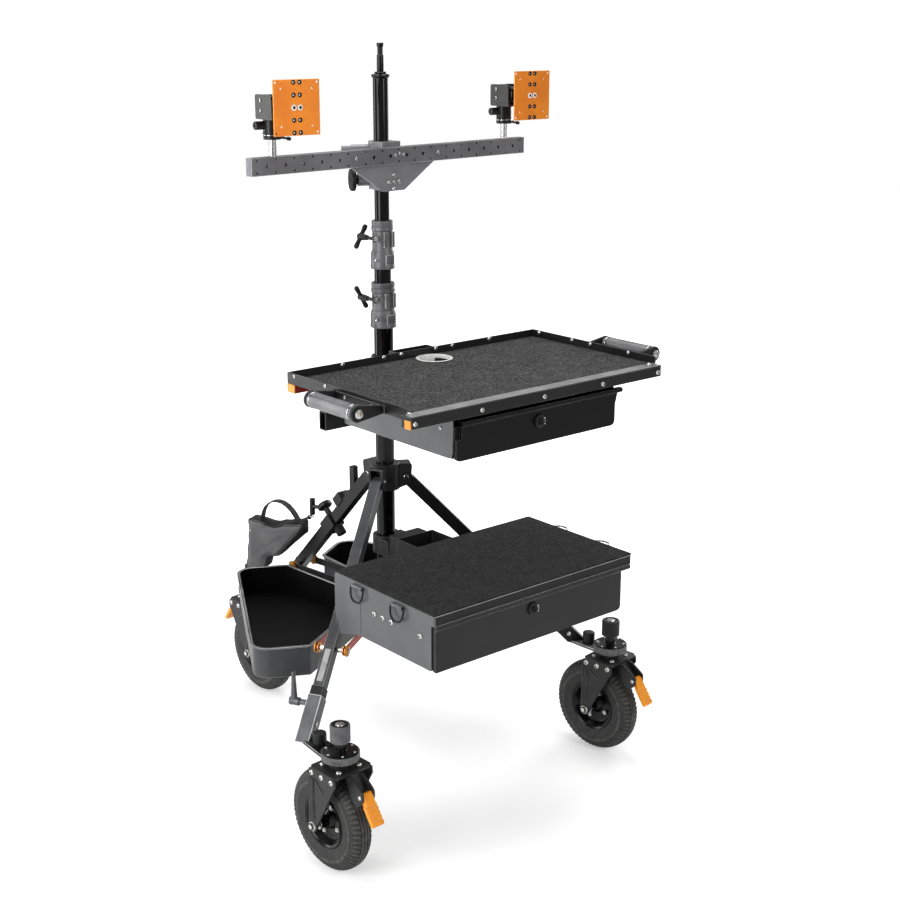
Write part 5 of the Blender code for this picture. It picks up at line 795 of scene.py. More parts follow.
# Tray yoke: black steel bracket from the mast collar down to the square cross tube. Button
# screws show on its plates.
dressed("tray_mount", "tray", MATT_BLACK, 0.0008)
yoke_screws = [screw((x, -0.0908, z), (0, 1, 0), 0.005, 0.003) for x in (-0.04, 0.04) for z in (0.985, 1.045)]
yoke_screws += [screw((s * 0.0556, -0.11, z), (s, 0, 0), 0.0042, 0.0026) for s in (-1, 1)
    for z in (1.0, 1.045)]
piece(joined(*yoke_screws), "tray_mount_screws", "tray", BRIGHT_SCREW)


# Upper drawer: folded grey housing under the tray and a black drawer whose front has a rolled
# lip. Each side plate carries two screws and the front a round key latch.

# Satin grey coat on folded sheet: a broad plate that mirrors the left lamp softly.
HOUSING_GREY = surface("satin_grey_housing_sheet", "#4b4c4e", "#58595b", 0.32, metallic=0.3, patch_mm=160,
    spread=0.07, bump=0.08, wear_dust_and_highlight_colour="#b4b4b4")
dressed("drawer_housing", "tray", HOUSING_GREY, 0.0007)
house_screws = [screw((s * 0.2332, y, 1.002), (s, 0, 0), 0.0043, 0.0024) for s in (-1, 1)
    for y in (-0.491, -0.2)]
piece(joined(*house_screws), "drawer_housing_screws", "tray", BRIGHT_SCREW)
# Satin black coat, darkened further as painted shade: the upper drawer lies in the shade of the tray.
DRAWER_BLACK_PAINTED_SHADE = surface("satin_black_drawer_front_painted_shade", "#050505", "#090909", 0.34, metallic=0.05, patch_mm=150,
    grain_mm=0.7, spread=0.06, bump=0.07, wear_dust_and_highlight_colour="#9a9a9a", specular=0.16)
dressed("upper_drawer", "upper_drawer", DRAWER_BLACK_PAINTED_SHADE, 0.0009)


def key_latch(name, x, z, face):
    """Quarter-turn cam latch: ribbed black bezel with a key barrel and three bright pips."""
    front = face - 0.0082
    bezel = turned([(0, 9), (5.8, 9), (6.2, 10.8), (7.2, 10.4), (7.4, 6.2), (13, 5.8), (14.6, 4.6),
        (15, 3), (15, 0.4), (4.9, 0.4), (4.9, -14.2), (0, -14.2)], 48)
    laid(bezel, along((x, front, z), (x, front - 1, z)))
    slot = softened(slab(x - 0.0014, x + 0.0014, front - 0.0102, front - 0.0122, z - 0.0048, z + 0.0048),
        0.0003)
    wing = softened(slab(x - 0.0036, x + 0.0036, face + 0.0036, face + 0.0055, z - 0.003, z + 0.018), 0.0004)
    piece(joined(softened(bezel, 0, angle=28), slot, wing), name, name, MOULDED_BLACK, name)
    pips = [laid(turned([(0, 1.4), (1.8, 1.1), (2.5, 0), (0, 0)], 16),
        along((x + dx, front - 0.0058, z + dz), (x + dx, front - 1, z + dz)))
        for dx, dz in ((0.01, -0.0058), (0.0108, 0), (0.01, 0.0058))]
    piece(softened(joined(*pips), 0), name + "_pips", name, BRIGHT_SCREW)


key_latch("upper_latch", 0.0, 0.987, -0.5291)


# Lower box: folded steel housing in front of the mast, satin grey, with a lined lid. Its left
# plate carries four screws, and its drawer has the same latch as the upper one.

# Satin grey coat on folded sheet: mid grey at a slant, bright along the folded edges.
SHEET_GREY = surface("satin_grey_coated_sheet", "#4f5052", "#5c5d5f", 0.34, metallic=0.25, patch_mm=180,
    spread=0.07, bump=0.08, wear_dust_and_highlight_colour="#c0c0c0")
dressed("box_housing", "lower_box", SHEET_GREY, 0.0008)
box_half = 0.2939
box_right = 0.264
box_screws = [screw((-box_half, y, 0.5635), (-1, 0, 0), 0.0068, 0.004)
    for y in (-0.3404, -0.3697, -0.4, -0.4976)]
box_screws += [screw((box_right, y, 0.5635), (1, 0, 0), 0.0052, 0.003) for y in (-0.26, -0.4976)]
piece(joined(*box_screws), "box_screws", "lower_box", BRIGHT_SCREW)
# The lid's front edge: a black strip as painted shade, between two pale lines that are painted highlights.
lid_front = -0.5435
band_half = 0.2905
lid_shade_strip = softened(slab(-band_half, band_half, lid_front - 0.0006, lid_front + 0.0005, 0.5984, 0.618), 0.0003)
piece(lid_shade_strip, "box_lid_front_painted_shade", "lower_box", MATT_BLACK)
lines = [softened(slab(-band_half, band_half, lid_front - 0.0008, lid_front + 0.0005, z, z + 0.0013),
    0.0003) for z in (0.5969, 0.6182)]
piece(joined(*lines), "box_lid_painted_highlight_lines", "lower_box", PALE_METAL_AND_PAINTED_HIGHLIGHT)
# The lower drawer's front: the same coat in a dark charcoal, lighter than the upper one's painted shade.
DRAWER_CHARCOAL = surface("satin_charcoal_drawer_front", "#161617", "#1d1d1e", 0.34, metallic=0.1,
    patch_mm=150, grain_mm=0.7, spread=0.06, bump=0.07, wear_dust_and_highlight_colour="#b0b0b0", specular=0.3)
dressed("lower_drawer", "lower_drawer", DRAWER_CHARCOAL, 0.0009)
key_latch("lower_latch", -0.0156, 0.5675, -0.5353)


# Lid lining: short-pile carpet glued on the lid, cut to its edge. Its pile is drawn 2.8 mm long
# so that it shows: black, dull, finer than the felt.
CARPET = pile("short_pile_lid_carpet", "#0c0c0c", "#4c4c4c", 2.8, 0.9, 0.04)
carpet = slab(-0.2934, 0.2934, -0.543, -0.1955, 0.6199, 0.6229)
edited((bpy.ops.mesh.subdivide, {"number_cuts": 10}))
carpet = piece(softened(carpet, 0.001, 2, 60), "box_carpet", "lower_box", CARPET, "box_carpet")


# Tie-down rings: 5 mm wire bent to a D, held by two rolled clips on the lid's edge. The left
# pair is coated black, the right pair is bare steel.
def wire(points, radius, closed=False):
    """Round wire bent through points: a path with a round section, turned into a mesh."""
    bpy.ops.object.select_all(action="DESELECT")
    bpy.ops.curve.primitive_nurbs_path_add(location=(0, 0, 0))
    path = bpy.context.object.data
    spline = path.splines[0]
    spline.points.add(len(points) - len(spline.points))
    for knot, point in zip(spline.points, points):
        knot.co = (*point, 1.0)
    spline.use_cyclic_u = closed
    spline.use_endpoint_u = not closed
    spline.order_u = 3
    spline.resolution_u = 6
    path.bevel_depth = radius
    path.bevel_resolution = 4
    path.use_fill_caps = True
    bpy.ops.object.convert(target="MESH")
    edited(MERGED, OUTWARDS)
    bpy.ops.object.shade_smooth_by_angle(angle=radians(40))
    return bpy.context.object


ring_half = 0.022
ring_reach = 0.034
ring_z = 0.609
RING_COAT = {-1: MOULDED_BLACK, 1: POLISHED_STEEL}
for name, s, y, lift in (("left_back", -1, -0.283, -82), ("left_front", -1, -0.425, -82),
        ("right_back", 1, -0.283, 0), ("right_front", 1, -0.425, 0)):
    c = s * cos(radians(lift))
    q = sin(radians(lift))
    x = s * (box_half + 0.0045)
    bow = [(0, t * ring_half) for t in (-0.6, -0.3, 0, 0.3, 0.6)]
    bow += [(0, ring_half * 0.94), (0.004, ring_half)]
    bow += [(p * ring_reach, t * ring_half) for p, t in ((0.35, 1), (0.65, 0.92), (0.92, 0.62), (1.02, 0),
        (0.92, -0.62), (0.65, -0.92), (0.35, -1))]
    bow += [(0.004, -ring_half), (0, -ring_half * 0.94)]
    ring = wire([(x + c * p, y + t, ring_z + q * p) for p, t in bow], 0.0024, closed=True)
    node = "tie_ring_" + name
    piece(ring, node, node, RING_COAT[s], node)


# Yoke of the lower box: black steel bracket at the box's back, carried by a collar on the
# lower tube.
dressed("box_mount", "lower_box", MATT_BLACK, 0.0007)


# Leg hub: cast collar on the lower tube with three pairs of cheeks, coated dark grey, edges
# rubbed bright and given a painted highlight. Screws and the pivot pins' ends show on the cheeks.

# Dark coat on a rough casting: nearly black, edges pale as rubbed bare metal and as painted highlight.
HUB_GREY = surface("cast_hub_dark_coat", "#161617", "#2a2a2b", 0.34, metallic=0.3, patch_mm=26,
    grain_mm=0.9, spread=0.1, bump=0.2, wear_dust_and_highlight_colour="#cfcfcf", specular=0.35)
dressed("leg_hub", "base", HUB_GREY, 0.0009, 3)
leg_slope = atan(1.058)
LEG_WAY = {"left": -149.5, "right": -29.5, "back": 93.0}
pivot_radius = 0.0476
pivot_height = 0.7386


def leg_place(side):
    """X down a leg from its pivot, Y sideways, Z off its upper face."""
    return swing(LEG_WAY[side]) @ shift(pivot_radius, 0, pivot_height) @ Matrix.Rotation(leg_slope, 4, "Y")


def in_plane(side, radius, off, height):
    """Point out along a leg's plane, off to its side, at a height."""
    return swing(LEG_WAY[side]) @ Vector((radius, off, height))


hub_pins = [screw(in_plane(side, pivot_radius, s * 0.0184, pivot_height), in_plane(side, 0, s, 0), 0.0062,
    0.0022) for side in LEG_WAY for s in (-1, 1)]
piece(joined(*hub_pins), "leg_pivot_pins", "base", BRIGHT_SCREW)


# Upper legs: square aluminium tubes 25 by 28 mm. The left one is worn to a satin grey, the
# other two are black with corners grey from rubbing and painted highlight; the back one carries the small
# fittings.

# Coat worn thin on an aluminium tube: dark grey satin, its corners pale from scuffs and painted highlight.
LEG_GREY = surface("satin_worn_grey_leg", "#38393b", "#48494b", 0.4, metallic=0.3, patch_mm=45,
    grain_mm=1.1, spread=0.1, bump=0.14, wear_dust_and_highlight_colour="#e0e0e0")
# Black coat on an aluminium tube: smooth, its corners grey from rubbing and painted highlight.
LEG_BLACK = surface("black_leg_coat", "#0a0a0b", "#141415", 0.34, metallic=0.2, patch_mm=70, spread=0.1,
    bump=0.1, wear_dust_and_highlight_colour="#a8a8a8", specular=0.3)
LEG_COAT = {"left": LEG_GREY, "right": LEG_BLACK, "back": LEG_BLACK}
for side in LEG_WAY:
    dressed("leg_upper_" + side, "base", LEG_COAT[side], 0.0009)
# Two light places on the legs: a rubbed patch low on the left one, the ratchet's lever on the back one.

# Bare scuffed aluminium: a light rough field on the dark leg.
WORN_PATCH = surface("rubbed_bare_patch", "#8f8f8e", "#aeaeac", 0.42, metallic=0.5, patch_mm=22,
    grain_mm=1.2, spread=0.12, bump=0.2)
patch = softened(slab(0.435, 0.512, -0.0068, 0.0068, 0.0136, 0.0143), 0.0002)
piece(laid(patch, leg_place("left")), "left_leg_worn_patch", "base", WORN_PATCH)
lever_plate = softened(slab(0.14, 0.1725, -0.0155, 0.0155, 0.0335, 0.0362), 0.0008)
piece(laid(lever_plate, leg_place("back")), "back_leg_flat_lever", "base", PALE_METAL_AND_PAINTED_HIGHLIGHT)


# Lower legs: a sleeve with a plastic collar slides on each upper tube and ends on a flat arm.
# The arm carries a round boss, the ribbed swivel disc and, on a neck, the caster's lock knob.
CASTER_SPOT = {"left": (-0.4197, -0.3778, -87.0), "right": (0.4398, -0.3472, -83.0),
    "back": (-0.0306, 0.5669, 92.8)}
RATCHET_SIDE = {"left": -1, "right": 1, "back": -1}
ratchet_s = 0.562
# Satin grey coat, much handled: its edges pale from wear and painted highlight.
SLEEVE_GREY = surface("satin_grey_sleeve", "#4e4f51", "#626365", 0.38, metallic=0.3, patch_mm=45,
    grain_mm=1.1, spread=0.1, bump=0.14, wear_dust_and_highlight_colour="#e8e8e8")
# Gloss coat on a turned disc: black with sharp highlights.
DISC_BLACK = surface("gloss_black_swivel_disc", "#09090a", "#131314", 0.22, metallic=0.2, patch_mm=30,
    grain_mm=0.7, bump=0.06, wear_dust_and_highlight_colour="#9a9a9a", specular=0.4)
# Thin coat on a cast rim: dull grey ribs.
DISC_RIM = surface("cast_grey_ribbed_rim", "#3f3f40", "#565657", 0.46, metallic=0.4, patch_mm=14,
    grain_mm=0.7, spread=0.1, bump=0.15, wear_dust_and_highlight_colour="#8c8c8c", wear_dust_and_highlight_level=0.9)
arm_low = 0.27
arm_top = 0.277
foot_s = 0.636


def toothed(radius, depth, teeth, low, high):
    """A round disc with shallow ribs across its rim."""
    steps = teeth * 4
    points = []
    for k in range(steps):
        r = radius if k % 4 in (0, 1) else radius - depth
        points.append((r * cos(2 * pi * k / steps), r * sin(2 * pi * k / steps)))
    return laid(prism(points, high - low), shift(z=low))


def lower_leg(side):
    place = leg_place(side)
    x, y, fork_azimuth = CASTER_SPOT[side]
    body = "leg_lower_" + side
    coat = SLEEVE_GREY if side == "left" else LEG_COAT[side]
    sleeve = laid(softened(slab(0.545, foot_s + 0.04, -0.0165, 0.0165, -0.018, 0.018), 0.0016, 3), place)
    cut(sleeve, slab(-1, 1, -1, 1, 0, arm_low + 0.0036))
    foot = in_plane(side, pivot_radius + foot_s * cos(leg_slope), 0, 0)
    way = Vector((x, y, 0)) - Vector((foot.x, foot.y, 0))
    span = way.length
    way.normalize()
    near_r = 0.019
    far_r = 0.03
    lean = asin((far_r - near_r) / span)
    outline = []
    for radius, middle, first, sweep, steps in ((near_r, 0, pi / 2 + lean, pi - 2 * lean, 12),
            (far_r, span, -pi / 2 - lean, pi + 2 * lean, 20)):
        turns = [first + sweep * k / steps for k in range(steps + 1)]
        outline += [(middle + radius * cos(a), radius * sin(a)) for a in turns]
    arm = prism(outline, arm_top - arm_low)
    laid(arm, along((foot.x, foot.y, arm_low), (foot.x, foot.y, 1), way))
    piece(softened(sleeve, 0.0004), body, body, coat, body)
    piece(softened(arm, 0.001, 2, 50), body + "_arm", body, SLEEVE_GREY if side == "right" else LEG_BLACK)
    knuckle = Vector((foot.x, foot.y, arm_top)) + way * (span * 0.4)
    boss = turned([(0, 0), (14.8, 0), (15.2, 2.5), (15.2, 26.5), (14, 28.5), (9, 29.6), (0, 29.8)], 48)
    laid(boss, shift(*knuckle))
    collar = softened(slab(0.523, 0.5452, -0.0147, 0.0147, -0.0162, 0.0162), 0.0016, 3)
    laid(cut(collar, slab(0.52, 0.55, -0.0128, 0.0128, -0.0145, 0.0145)), place)
    s = RATCHET_SIDE[side]
    ratchet = laid(pin((ratchet_s, s * 0.016, 0), (ratchet_s, s * 0.0225, 0), 0.009), place)
    piece(joined(softened(boss, 0, angle=30), collar, softened(ratchet, 0.0006)), body + "_fittings", body,
        MOULDED_BLACK)
    turn = shift(x, y) @ swing(fork_azimuth)
    disc = turned([(12, 276.5), (40.4, 276.5), (40.4, 293.8), (39.2, 294.8), (30, 295), (28.5, 294),
        (14, 294), (12, 295.5)], 72)
    neck = turned([(0, 293), (12.5, 293), (12, 297.5), (12, 316.5), (0, 316.5)], 48)
    cap = turned([(0, 355.6), (15, 355.6), (17.8, 356.2), (18.6, 355.6), (19, 354), (0, 354)], 48)
    parts = [laid(softened(part, 0, angle=30), turn) for part in (disc, neck, cap)]
    piece(joined(*parts), body + "_disc", body, DISC_BLACK)
    rim = softened(toothed(0.042, 0.0008, 56, 0.2768, 0.293), 0.0002, 1)
    cut(rim, pin((0, 0, 0.27), (0, 0, 0.31), 0.0392, 64))
    piece(laid(rim, turn), body + "_ribbed_rim", body, DISC_RIM)
    knob = turned([(0, 316), (20.5, 316), (21.8, 317), (22.2, 320), (22.2, 344), (22.4, 347), (22.4, 353),
        (21.4, 355.6), (19.2, 356.2), (18.8, 354.5), (0, 354.5)], 64)
    cut(knob, *[pin((gx, gy, 0.3155), (gx, gy, 0.3455), 0.0024, 12) for gx, gy in circle(12, 0.0238)])
    piece(laid(softened(knob, 0.0003, 2, 40), turn), body + "_lock_knob", body, KNOB_COAT[side])
    bright = [laid(turned([(0, 357.5), (6, 357.2), (9.6, 356.6), (10.4, 355.2), (0, 355.2)], 32), turn)]
    for k in range(6):
        spot = turn @ swing(60 * k + 30) @ Vector((0.033, 0, 0.2948))
        bright.append(screw(spot, (0, 0, 1), 0.0032, 0.0018))
    for s in (-1, 1):
        bright.append(screw(place @ Vector((foot_s - 0.028, s * 0.0165, 0)),
            place.to_3x3() @ Vector((0, s, 0)), 0.0062, 0.003))
    piece(joined(*bright), body + "_screws", body, BRIGHT_SCREW)


# Moulded grey plastic: the palest of the three knobs, on the left leg only.
KNOB_GREY = surface("moulded_grey_knob", "#48484a", "#5a5a5c", 0.52, patch_mm=16, grain_mm=0.6, bump=0.12,
    wear_dust_and_highlight_colour="#8a8a8a", wear_dust_and_highlight_level=0.5)
KNOB_COAT = {"left": KNOB_GREY, "right": MOULDED_BLACK, "back": MOULDED_BLACK}
for side in LEG_WAY:
    lower_leg(side)


# Sleeve levers: a die-cast zinc hub on each sleeve's side, with a straight lever of the same
# zinc that thins towards its round tip.

# Satin coat on die-cast zinc: a dull grey metal.
LEVER_ZINC = surface("satin_zinc_lever", "#4a4b4d", "#5c5d5f", 0.36, metallic=0.4, patch_mm=20,
    grain_mm=0.7, bump=0.08)
for side, k in RATCHET_SIDE.items():
    place = leg_place(side)
    start = place @ Vector((ratchet_s, k * 0.0228, 0))
    axis = (place.to_3x3() @ Vector((0, k, 0))).normalized()
    name = "leg_lever_" + side
    hub = turned([(0, 40), (7, 40), (9, 39.2), (9.5, 37.5), (9.5, 32), (8.8, 31), (8.8, 27), (9.5, 26),
        (9.5, 16), (7.5, 14.5), (6.5, 13), (6.5, 0), (4, 0), (4, -9.5), (0, -9.5)], 40)
    laid(hub, along(start, start + axis))
    piece(softened(hub, 0, angle=30), name + "_hub", name, LEVER_ZINC, name)
    elbow = start + axis * 0.029
    arm = turned([(0, 1), (7.8, 1), (7.4, 11), (6, 33), (5, 56), (4.9, 64), (4.7, 68.5), (3.6, 70.6),
        (0, 71.2)], 32)
    laid(arm, shift(*elbow))
    piece(softened(arm, 0, angle=40), name + "_arm", name, LEVER_ZINC)


# Casters: forks of pressed steel, black powder coated, each with a top plate, two ribbed cheeks
# and the brake's ears. Zinc bolts hold the cheeks, the axle and the brake's pin.

# Powder coat on pressed steel: black, a little dusty.
FORK_BLACK = surface("black_coated_fork", "#1d1d1e", "#262627", 0.44, metallic=0.2, spread=0.1, bump=0.12,
    wear_dust_and_highlight_colour="#6f6f6f", wear_dust_and_highlight_level=0.8)
# Zinc plating on the larger bolts: brighter and newer than the small screws.
ZINC = surface("zinc_plated_bolt", "#c9c9c5", "#e4e4e0", 0.28, metallic=0.9, patch_mm=8, grain_mm=0.6,
    spread=0.1)
fork_half = 0.053
trail = -0.035
axle_z = 0.118


def caster_place(side):
    """X towards the brake, Y along the axle, on the floor under the king pin."""
    x, y, azimuth = CASTER_SPOT[side]
    return shift(x, y) @ swing(azimuth)


for side in LEG_WAY:
    name = "caster_fork_" + side
    place = caster_place(side)
    ribs = []
    for s in (-1, 1):
        y0, y1 = sorted((s * fork_half, s * (fork_half + 0.0022)))
        for dx in (-0.0085, 0.0045):
            ribs.append(slab(trail + dx, trail + dx + 0.002, y0, y1, axle_z + 0.018, 0.236))
        ribs.append(laid(slab(0, 0.038, y0, y1, -0.0011, 0.0011), shift(trail + 0.01, 0, 0.236)
            @ swing(42, "Y")))
    ribs = [laid(softened(rib, 0.0008), place) for rib in ribs]
    body = refined(name, 0.0009)
    piece(joined(body, *ribs), name, name, FORK_BLACK, name)
    bolts = []
    for s in (-1, 1):
        for dx in (-0.033, 0.0, 0.033):
            bolts.append(screw((dx, s * (fork_half + 0.0002), 0.248), (0, s, 0), 0.0064, 0.004))
        axle = turned([(0, 8.2), (4.2, 8.2), (5.2, 7.6), (5.4, 5), (10, 4.8), (10.8, 3.6), (10.8, 0),
            (0, 0)], 40)
        laid(axle, along((trail, s * (fork_half + 0.0004), axle_z), (trail, s * 1.0, axle_z)))
        bolts.append(softened(axle, 0, angle=40))
        bolts.append(screw((0.084, s * 0.018, 0.22), (0, s, 0), 0.005, 0.0022))
    for dx, dy in ((0.028, 0.028), (-0.028, 0.028), (0.028, -0.028), (-0.028, -0.028)):
        bolts.append(screw((dx, dy, 0.26), (0, 0, 1), 0.0062, 0.0042))
    bolts = [laid(bolt, place) for bolt in bolts]
    piece(joined(*bolts), name + "_bolts", name, ZINC)


# Wheels: grooved pneumatic tyres with lugs on the shoulders, on pressed black rims of two
# halves. Four nuts on their bolts show on each dish; a plain hub turns on the axle.

# Dusty rubber: dark grey and matt, pale with dust where it meets the ground, with painted highlights too.
TYRE = surface("dusty_tyre_rubber_painted_highlights", "#161616", "#2a2a29", 0.6, patch_mm=14, grain_mm=1.0,
    spread=0.14, bump=0.35, wear_dust_and_highlight_colour="#8c8b88")
# Gloss coat on pressed steel: black, with a bright ring on each bend of the dish.
RIM_BLACK = surface("gloss_black_pressed_rim", "#070708", "#0e0e0f", 0.22, metallic=0.3, spread=0.07,
    wear_dust_and_highlight_colour="#b0b0b0", specular=0.4)


SHOULDER_IN, SHOULDER_OUT, SHOULDER_R = 0.0125, 0.0256, 0.103


def tyre():
    """Half of the tyre's section mirrored and spun; the shoulder rows are pulled in to lugs."""
    half = [(117.6, 3), (115, 3.6), (115, 5), (117.3, 5.6), (116.6, 10), (114, 10.8), (114, 12),
        (116, 12.8), (112.8, 18), (109, 22.2), (104, 25.2), (97, 27.6), (95, 27.2), (94.2, 28.2),
        (88, 28.4), (80, 27.4), (70, 25.8), (63, 24), (60, 22.2), (58, 21), (56, 15)]
    steps = 240
    obj = turned(mirrored(half) + half[:1], steps)

    def place_of(point):
        """Distance off the middle, radius, and which step round the wheel, counted in fours."""
        turn = atan2(point.y, point.x) / (2 * pi) * steps
        side_off, radius = abs(point.z), hypot(point.x, point.y)
        return side_off, radius, turn, SHOULDER_IN < side_off < SHOULDER_OUT and radius > SHOULDER_R

    for vertex in obj.data.vertices:
        side_off, radius, turn, shoulder = place_of(vertex.co)
        if shoulder and round(turn) % 4 in (0, 1):
            vertex.co.x *= 1 - 0.0022 / radius
            vertex.co.y *= 1 - 0.0022 / radius
    softened(obj, 0, angle=38)
    # The lugs' tops, the tread's ribs and the ring on the side wall are painted pale: dust, with painted
    # highlight on the ribs and the ring.
    marks = obj.data.attributes.new("wear_dust_and_highlight", "FLOAT", "FACE")
    for face, mark in zip(obj.data.polygons, marks.data):
        side_off, radius, turn, shoulder = place_of(face.center)
        if shoulder:
            mark.value = 0.22 if 2 < turn % 4 < 3 else 0.0
        elif (side_off < SHOULDER_IN and radius > 0.116) or 0.0875 < radius < 0.0945:
            mark.value = 0.16
    return obj


for side in LEG_WAY:
    name = "caster_wheel_" + side
    place = caster_place(side) @ along((trail, 0, axle_z), (trail, 1, axle_z))
    piece(laid(tyre(), place), name + "_tyre", name, TYRE, name)
    dish = [(6.1, 40), (12, 40), (13.5, 38), (14, 18), (19, 13), (23, 8), (40, 6), (47, 9), (52, 18),
        (54.5, 22.5), (60, 24), (62.2, 25.8), (61.2, 26.8), (57.5, 25.5), (55.5, 23.5)]
    rim = turned(mirrored(dish) + dish[:1], 72)
    piece(laid(softened(rim, 0, angle=28), place), name + "_rim", name, RIM_BLACK)
    nuts = []
    for s in (-1, 1):
        for k in range(4):
            at = swing(90 * k + 22.5) @ Vector((0.035, 0, s * 0.0065))
            for rise, radius, sides, edge in ((0.006, 0.0058, 6, 0.0006), (0.0085, 0.003, 16, 0.0004)):
                nuts.append(softened(pin(at, at + Vector((0, 0, s * rise)), radius, sides), edge))
        hub = turned([(6.2, 40.2), (11, 40.2), (12.8, 39.6), (13.2, 38), (6.2, 38)], 40)
        nuts.append(softened(laid(hub, along((0, 0, 0), (0, 0, s))), 0, angle=30))
    nuts = [laid(nut, place) for nut in nuts]
    piece(joined(*nuts), name + "_nuts", name, ZINC)


# Brake levers: orange coated die-cast pads with three ridges for the shoe, hinged on a pin
# between the fork's ears.

# Orange coat on die-cast pads: bright, yellow on the ridges' edges from rubbing and painted highlight.
ORANGE_CAST = surface("orange_coated_brake_pad", "#f09a1c", "#e4890e", 0.42, patch_mm=16, grain_mm=0.7,
    bump=0.1, wear_dust_and_highlight_colour="#ffc070", wear_dust_and_highlight_level=0.8, specular=0.3)
for name in ["brake_lever_" + side for side in LEG_WAY]:
    dressed(name, name, ORANGE_CAST, 0.0007)


# Braces: a disc on the lower tube and two flat bars to each leg, red anodised. Each bar is
# clamped on its leg's bolt between two round nuts of gold anodised aluminium.

# Red anodised flat bar: clearer than the rail, pale along its edges.
RED_BRACE = surface("red_anodised_brace", "#a8322a", "#8f2620", 0.34, metallic=0.5, grain_mm=0.5,
    bump=0.03, wear_dust_and_highlight_colour="#e6a59c")
# Gold anodised aluminium: small warm glints beside the red.
GOLD = surface("gold_anodised_nut", "#e0962c", "#c97d18", 0.3, metallic=0.7, patch_mm=10, grain_mm=0.5,
    spread=0.07, bump=0.03, wear_dust_and_highlight_colour="#ffd98c")
braces = dressed("brace_frame", "base", RED_BRACE)
# The two bars to the back leg take the black coat as painted shade, for the shade they lie in.
braces.data.materials.append(MATT_BLACK)
for face in braces.data.polygons:
    spot = CART.inverted() @ face.center
    face.material_index = 1 if spot.y > 0.045 and spot.y > abs(spot.x) else 0
brace_radius = 0.337
brace_z = 0.424
rods = []
for side in LEG_WAY:
    nuts = []
    for s in (-1, 1):
        outer = in_plane(side, brace_radius, s * 0.0363, brace_z)
        way = in_plane(side, 0, s, 0)
        nut = turned([(5.2, 5.2), (9.8, 5.2), (12.2, 4), (13.3, 2), (13.3, 0.2), (5.2, 0.2)], 40)
        nuts.append(laid(softened(nut, 0, angle=30), along(outer, outer + way)))
        end = turned([(0, 7.8), (4, 7.8), (5.5, 6.8), (5.5, 0), (0, 0)], 24)
        rods.append(laid(softened(end, 0, angle=40), along(outer, outer + way)))
        inner = in_plane(side, brace_radius, s * 0.0316, brace_z)
        rods.append(softened(pin(in_plane(side, brace_radius, s * 0.0145, brace_z), inner, 0.006, 24),
            0.0004))
        washer = turned([(6.2, 0), (11.6, 0), (12, -0.6), (12, -1.8), (11.2, -2.4), (6.2, -2.4)], 40)
        nuts.append(laid(softened(washer, 0, angle=30), along(inner, inner + way)))
    piece(joined(*nuts), "brace_nuts_" + side, "base", GOLD)
piece(joined(*rods), "brace_bolts", "base", BRIGHT_SCREW)


# Bins: grey moulded tubs between the legs, hung on the braces, with a rolled rim; a dark
# glued lining covers the inside.

# Satin moulded shell: dark grey with a light line along its rim.
BIN_GREY = surface("satin_grey_bin_shell", "#343537", "#3e3f42", 0.42, metallic=0.15, patch_mm=110,
    grain_mm=1.0, bump=0.08, wear_dust_and_highlight_colour="#b8b8b8")
# Rough black lining: swallows the light inside the tub.
BIN_LINING = surface("dark_bin_lining", "#040404", "#0a0a0a", 0.5, patch_mm=50, grain_mm=1.8, spread=0.12,
    bump=0.25, specular=0.12)
BIN_CORNERS = [(0.2185, -0.27, 0.012), (0.355, -0.27, 0.045), (0.355, 0.27, 0.045), (0.2185, 0.27, 0.012),
    (0.075, 0.051, 0.01), (0.075, -0.051, 0.01)]


def bin_outline(inset):
    """The tub's outline moved in by an amount, its corners rounded."""
    count = len(BIN_CORNERS)
    flat = [Vector((x, y, 0)) for x, y, r in BIN_CORNERS]
    lines = []
    for i in range(count):
        way = (flat[(i + 1) % count] - flat[i]).normalized()
        lines.append((flat[i] + Vector((-way.y, way.x, 0)) * inset, way))
    corners = []
    for i in range(count):
        (p, u), (q, v) = lines[i - 1], lines[i]
        t = ((q.x - p.x) * v.y - (q.y - p.y) * v.x) / (u.x * v.y - u.y * v.x)
        corners.append(p + u * t)
    points = []
    for i in range(count):
        at = corners[i]
        a = (corners[i - 1] - at).normalized()
        b = (corners[(i + 1) % count] - at).normalized()
        radius = max(BIN_CORNERS[i][2] - inset, 0.003)
        half = a.angle(b) / 2
        centre = at + (a + b).normalized() * (radius / sin(half))
        start, end = [at + way * (radius / tan(half)) - centre for way in (a, b)]
        for k in range(9):
            point = centre + ((start * (8 - k) + end * k) / 8).normalized() * radius
            points.append((point.x, point.y))
    return points


def tub_slice(inset, low, high):
    """A plate of the tub's outline between two heights."""
    return laid(prism(bin_outline(inset), high - low), shift(z=low))


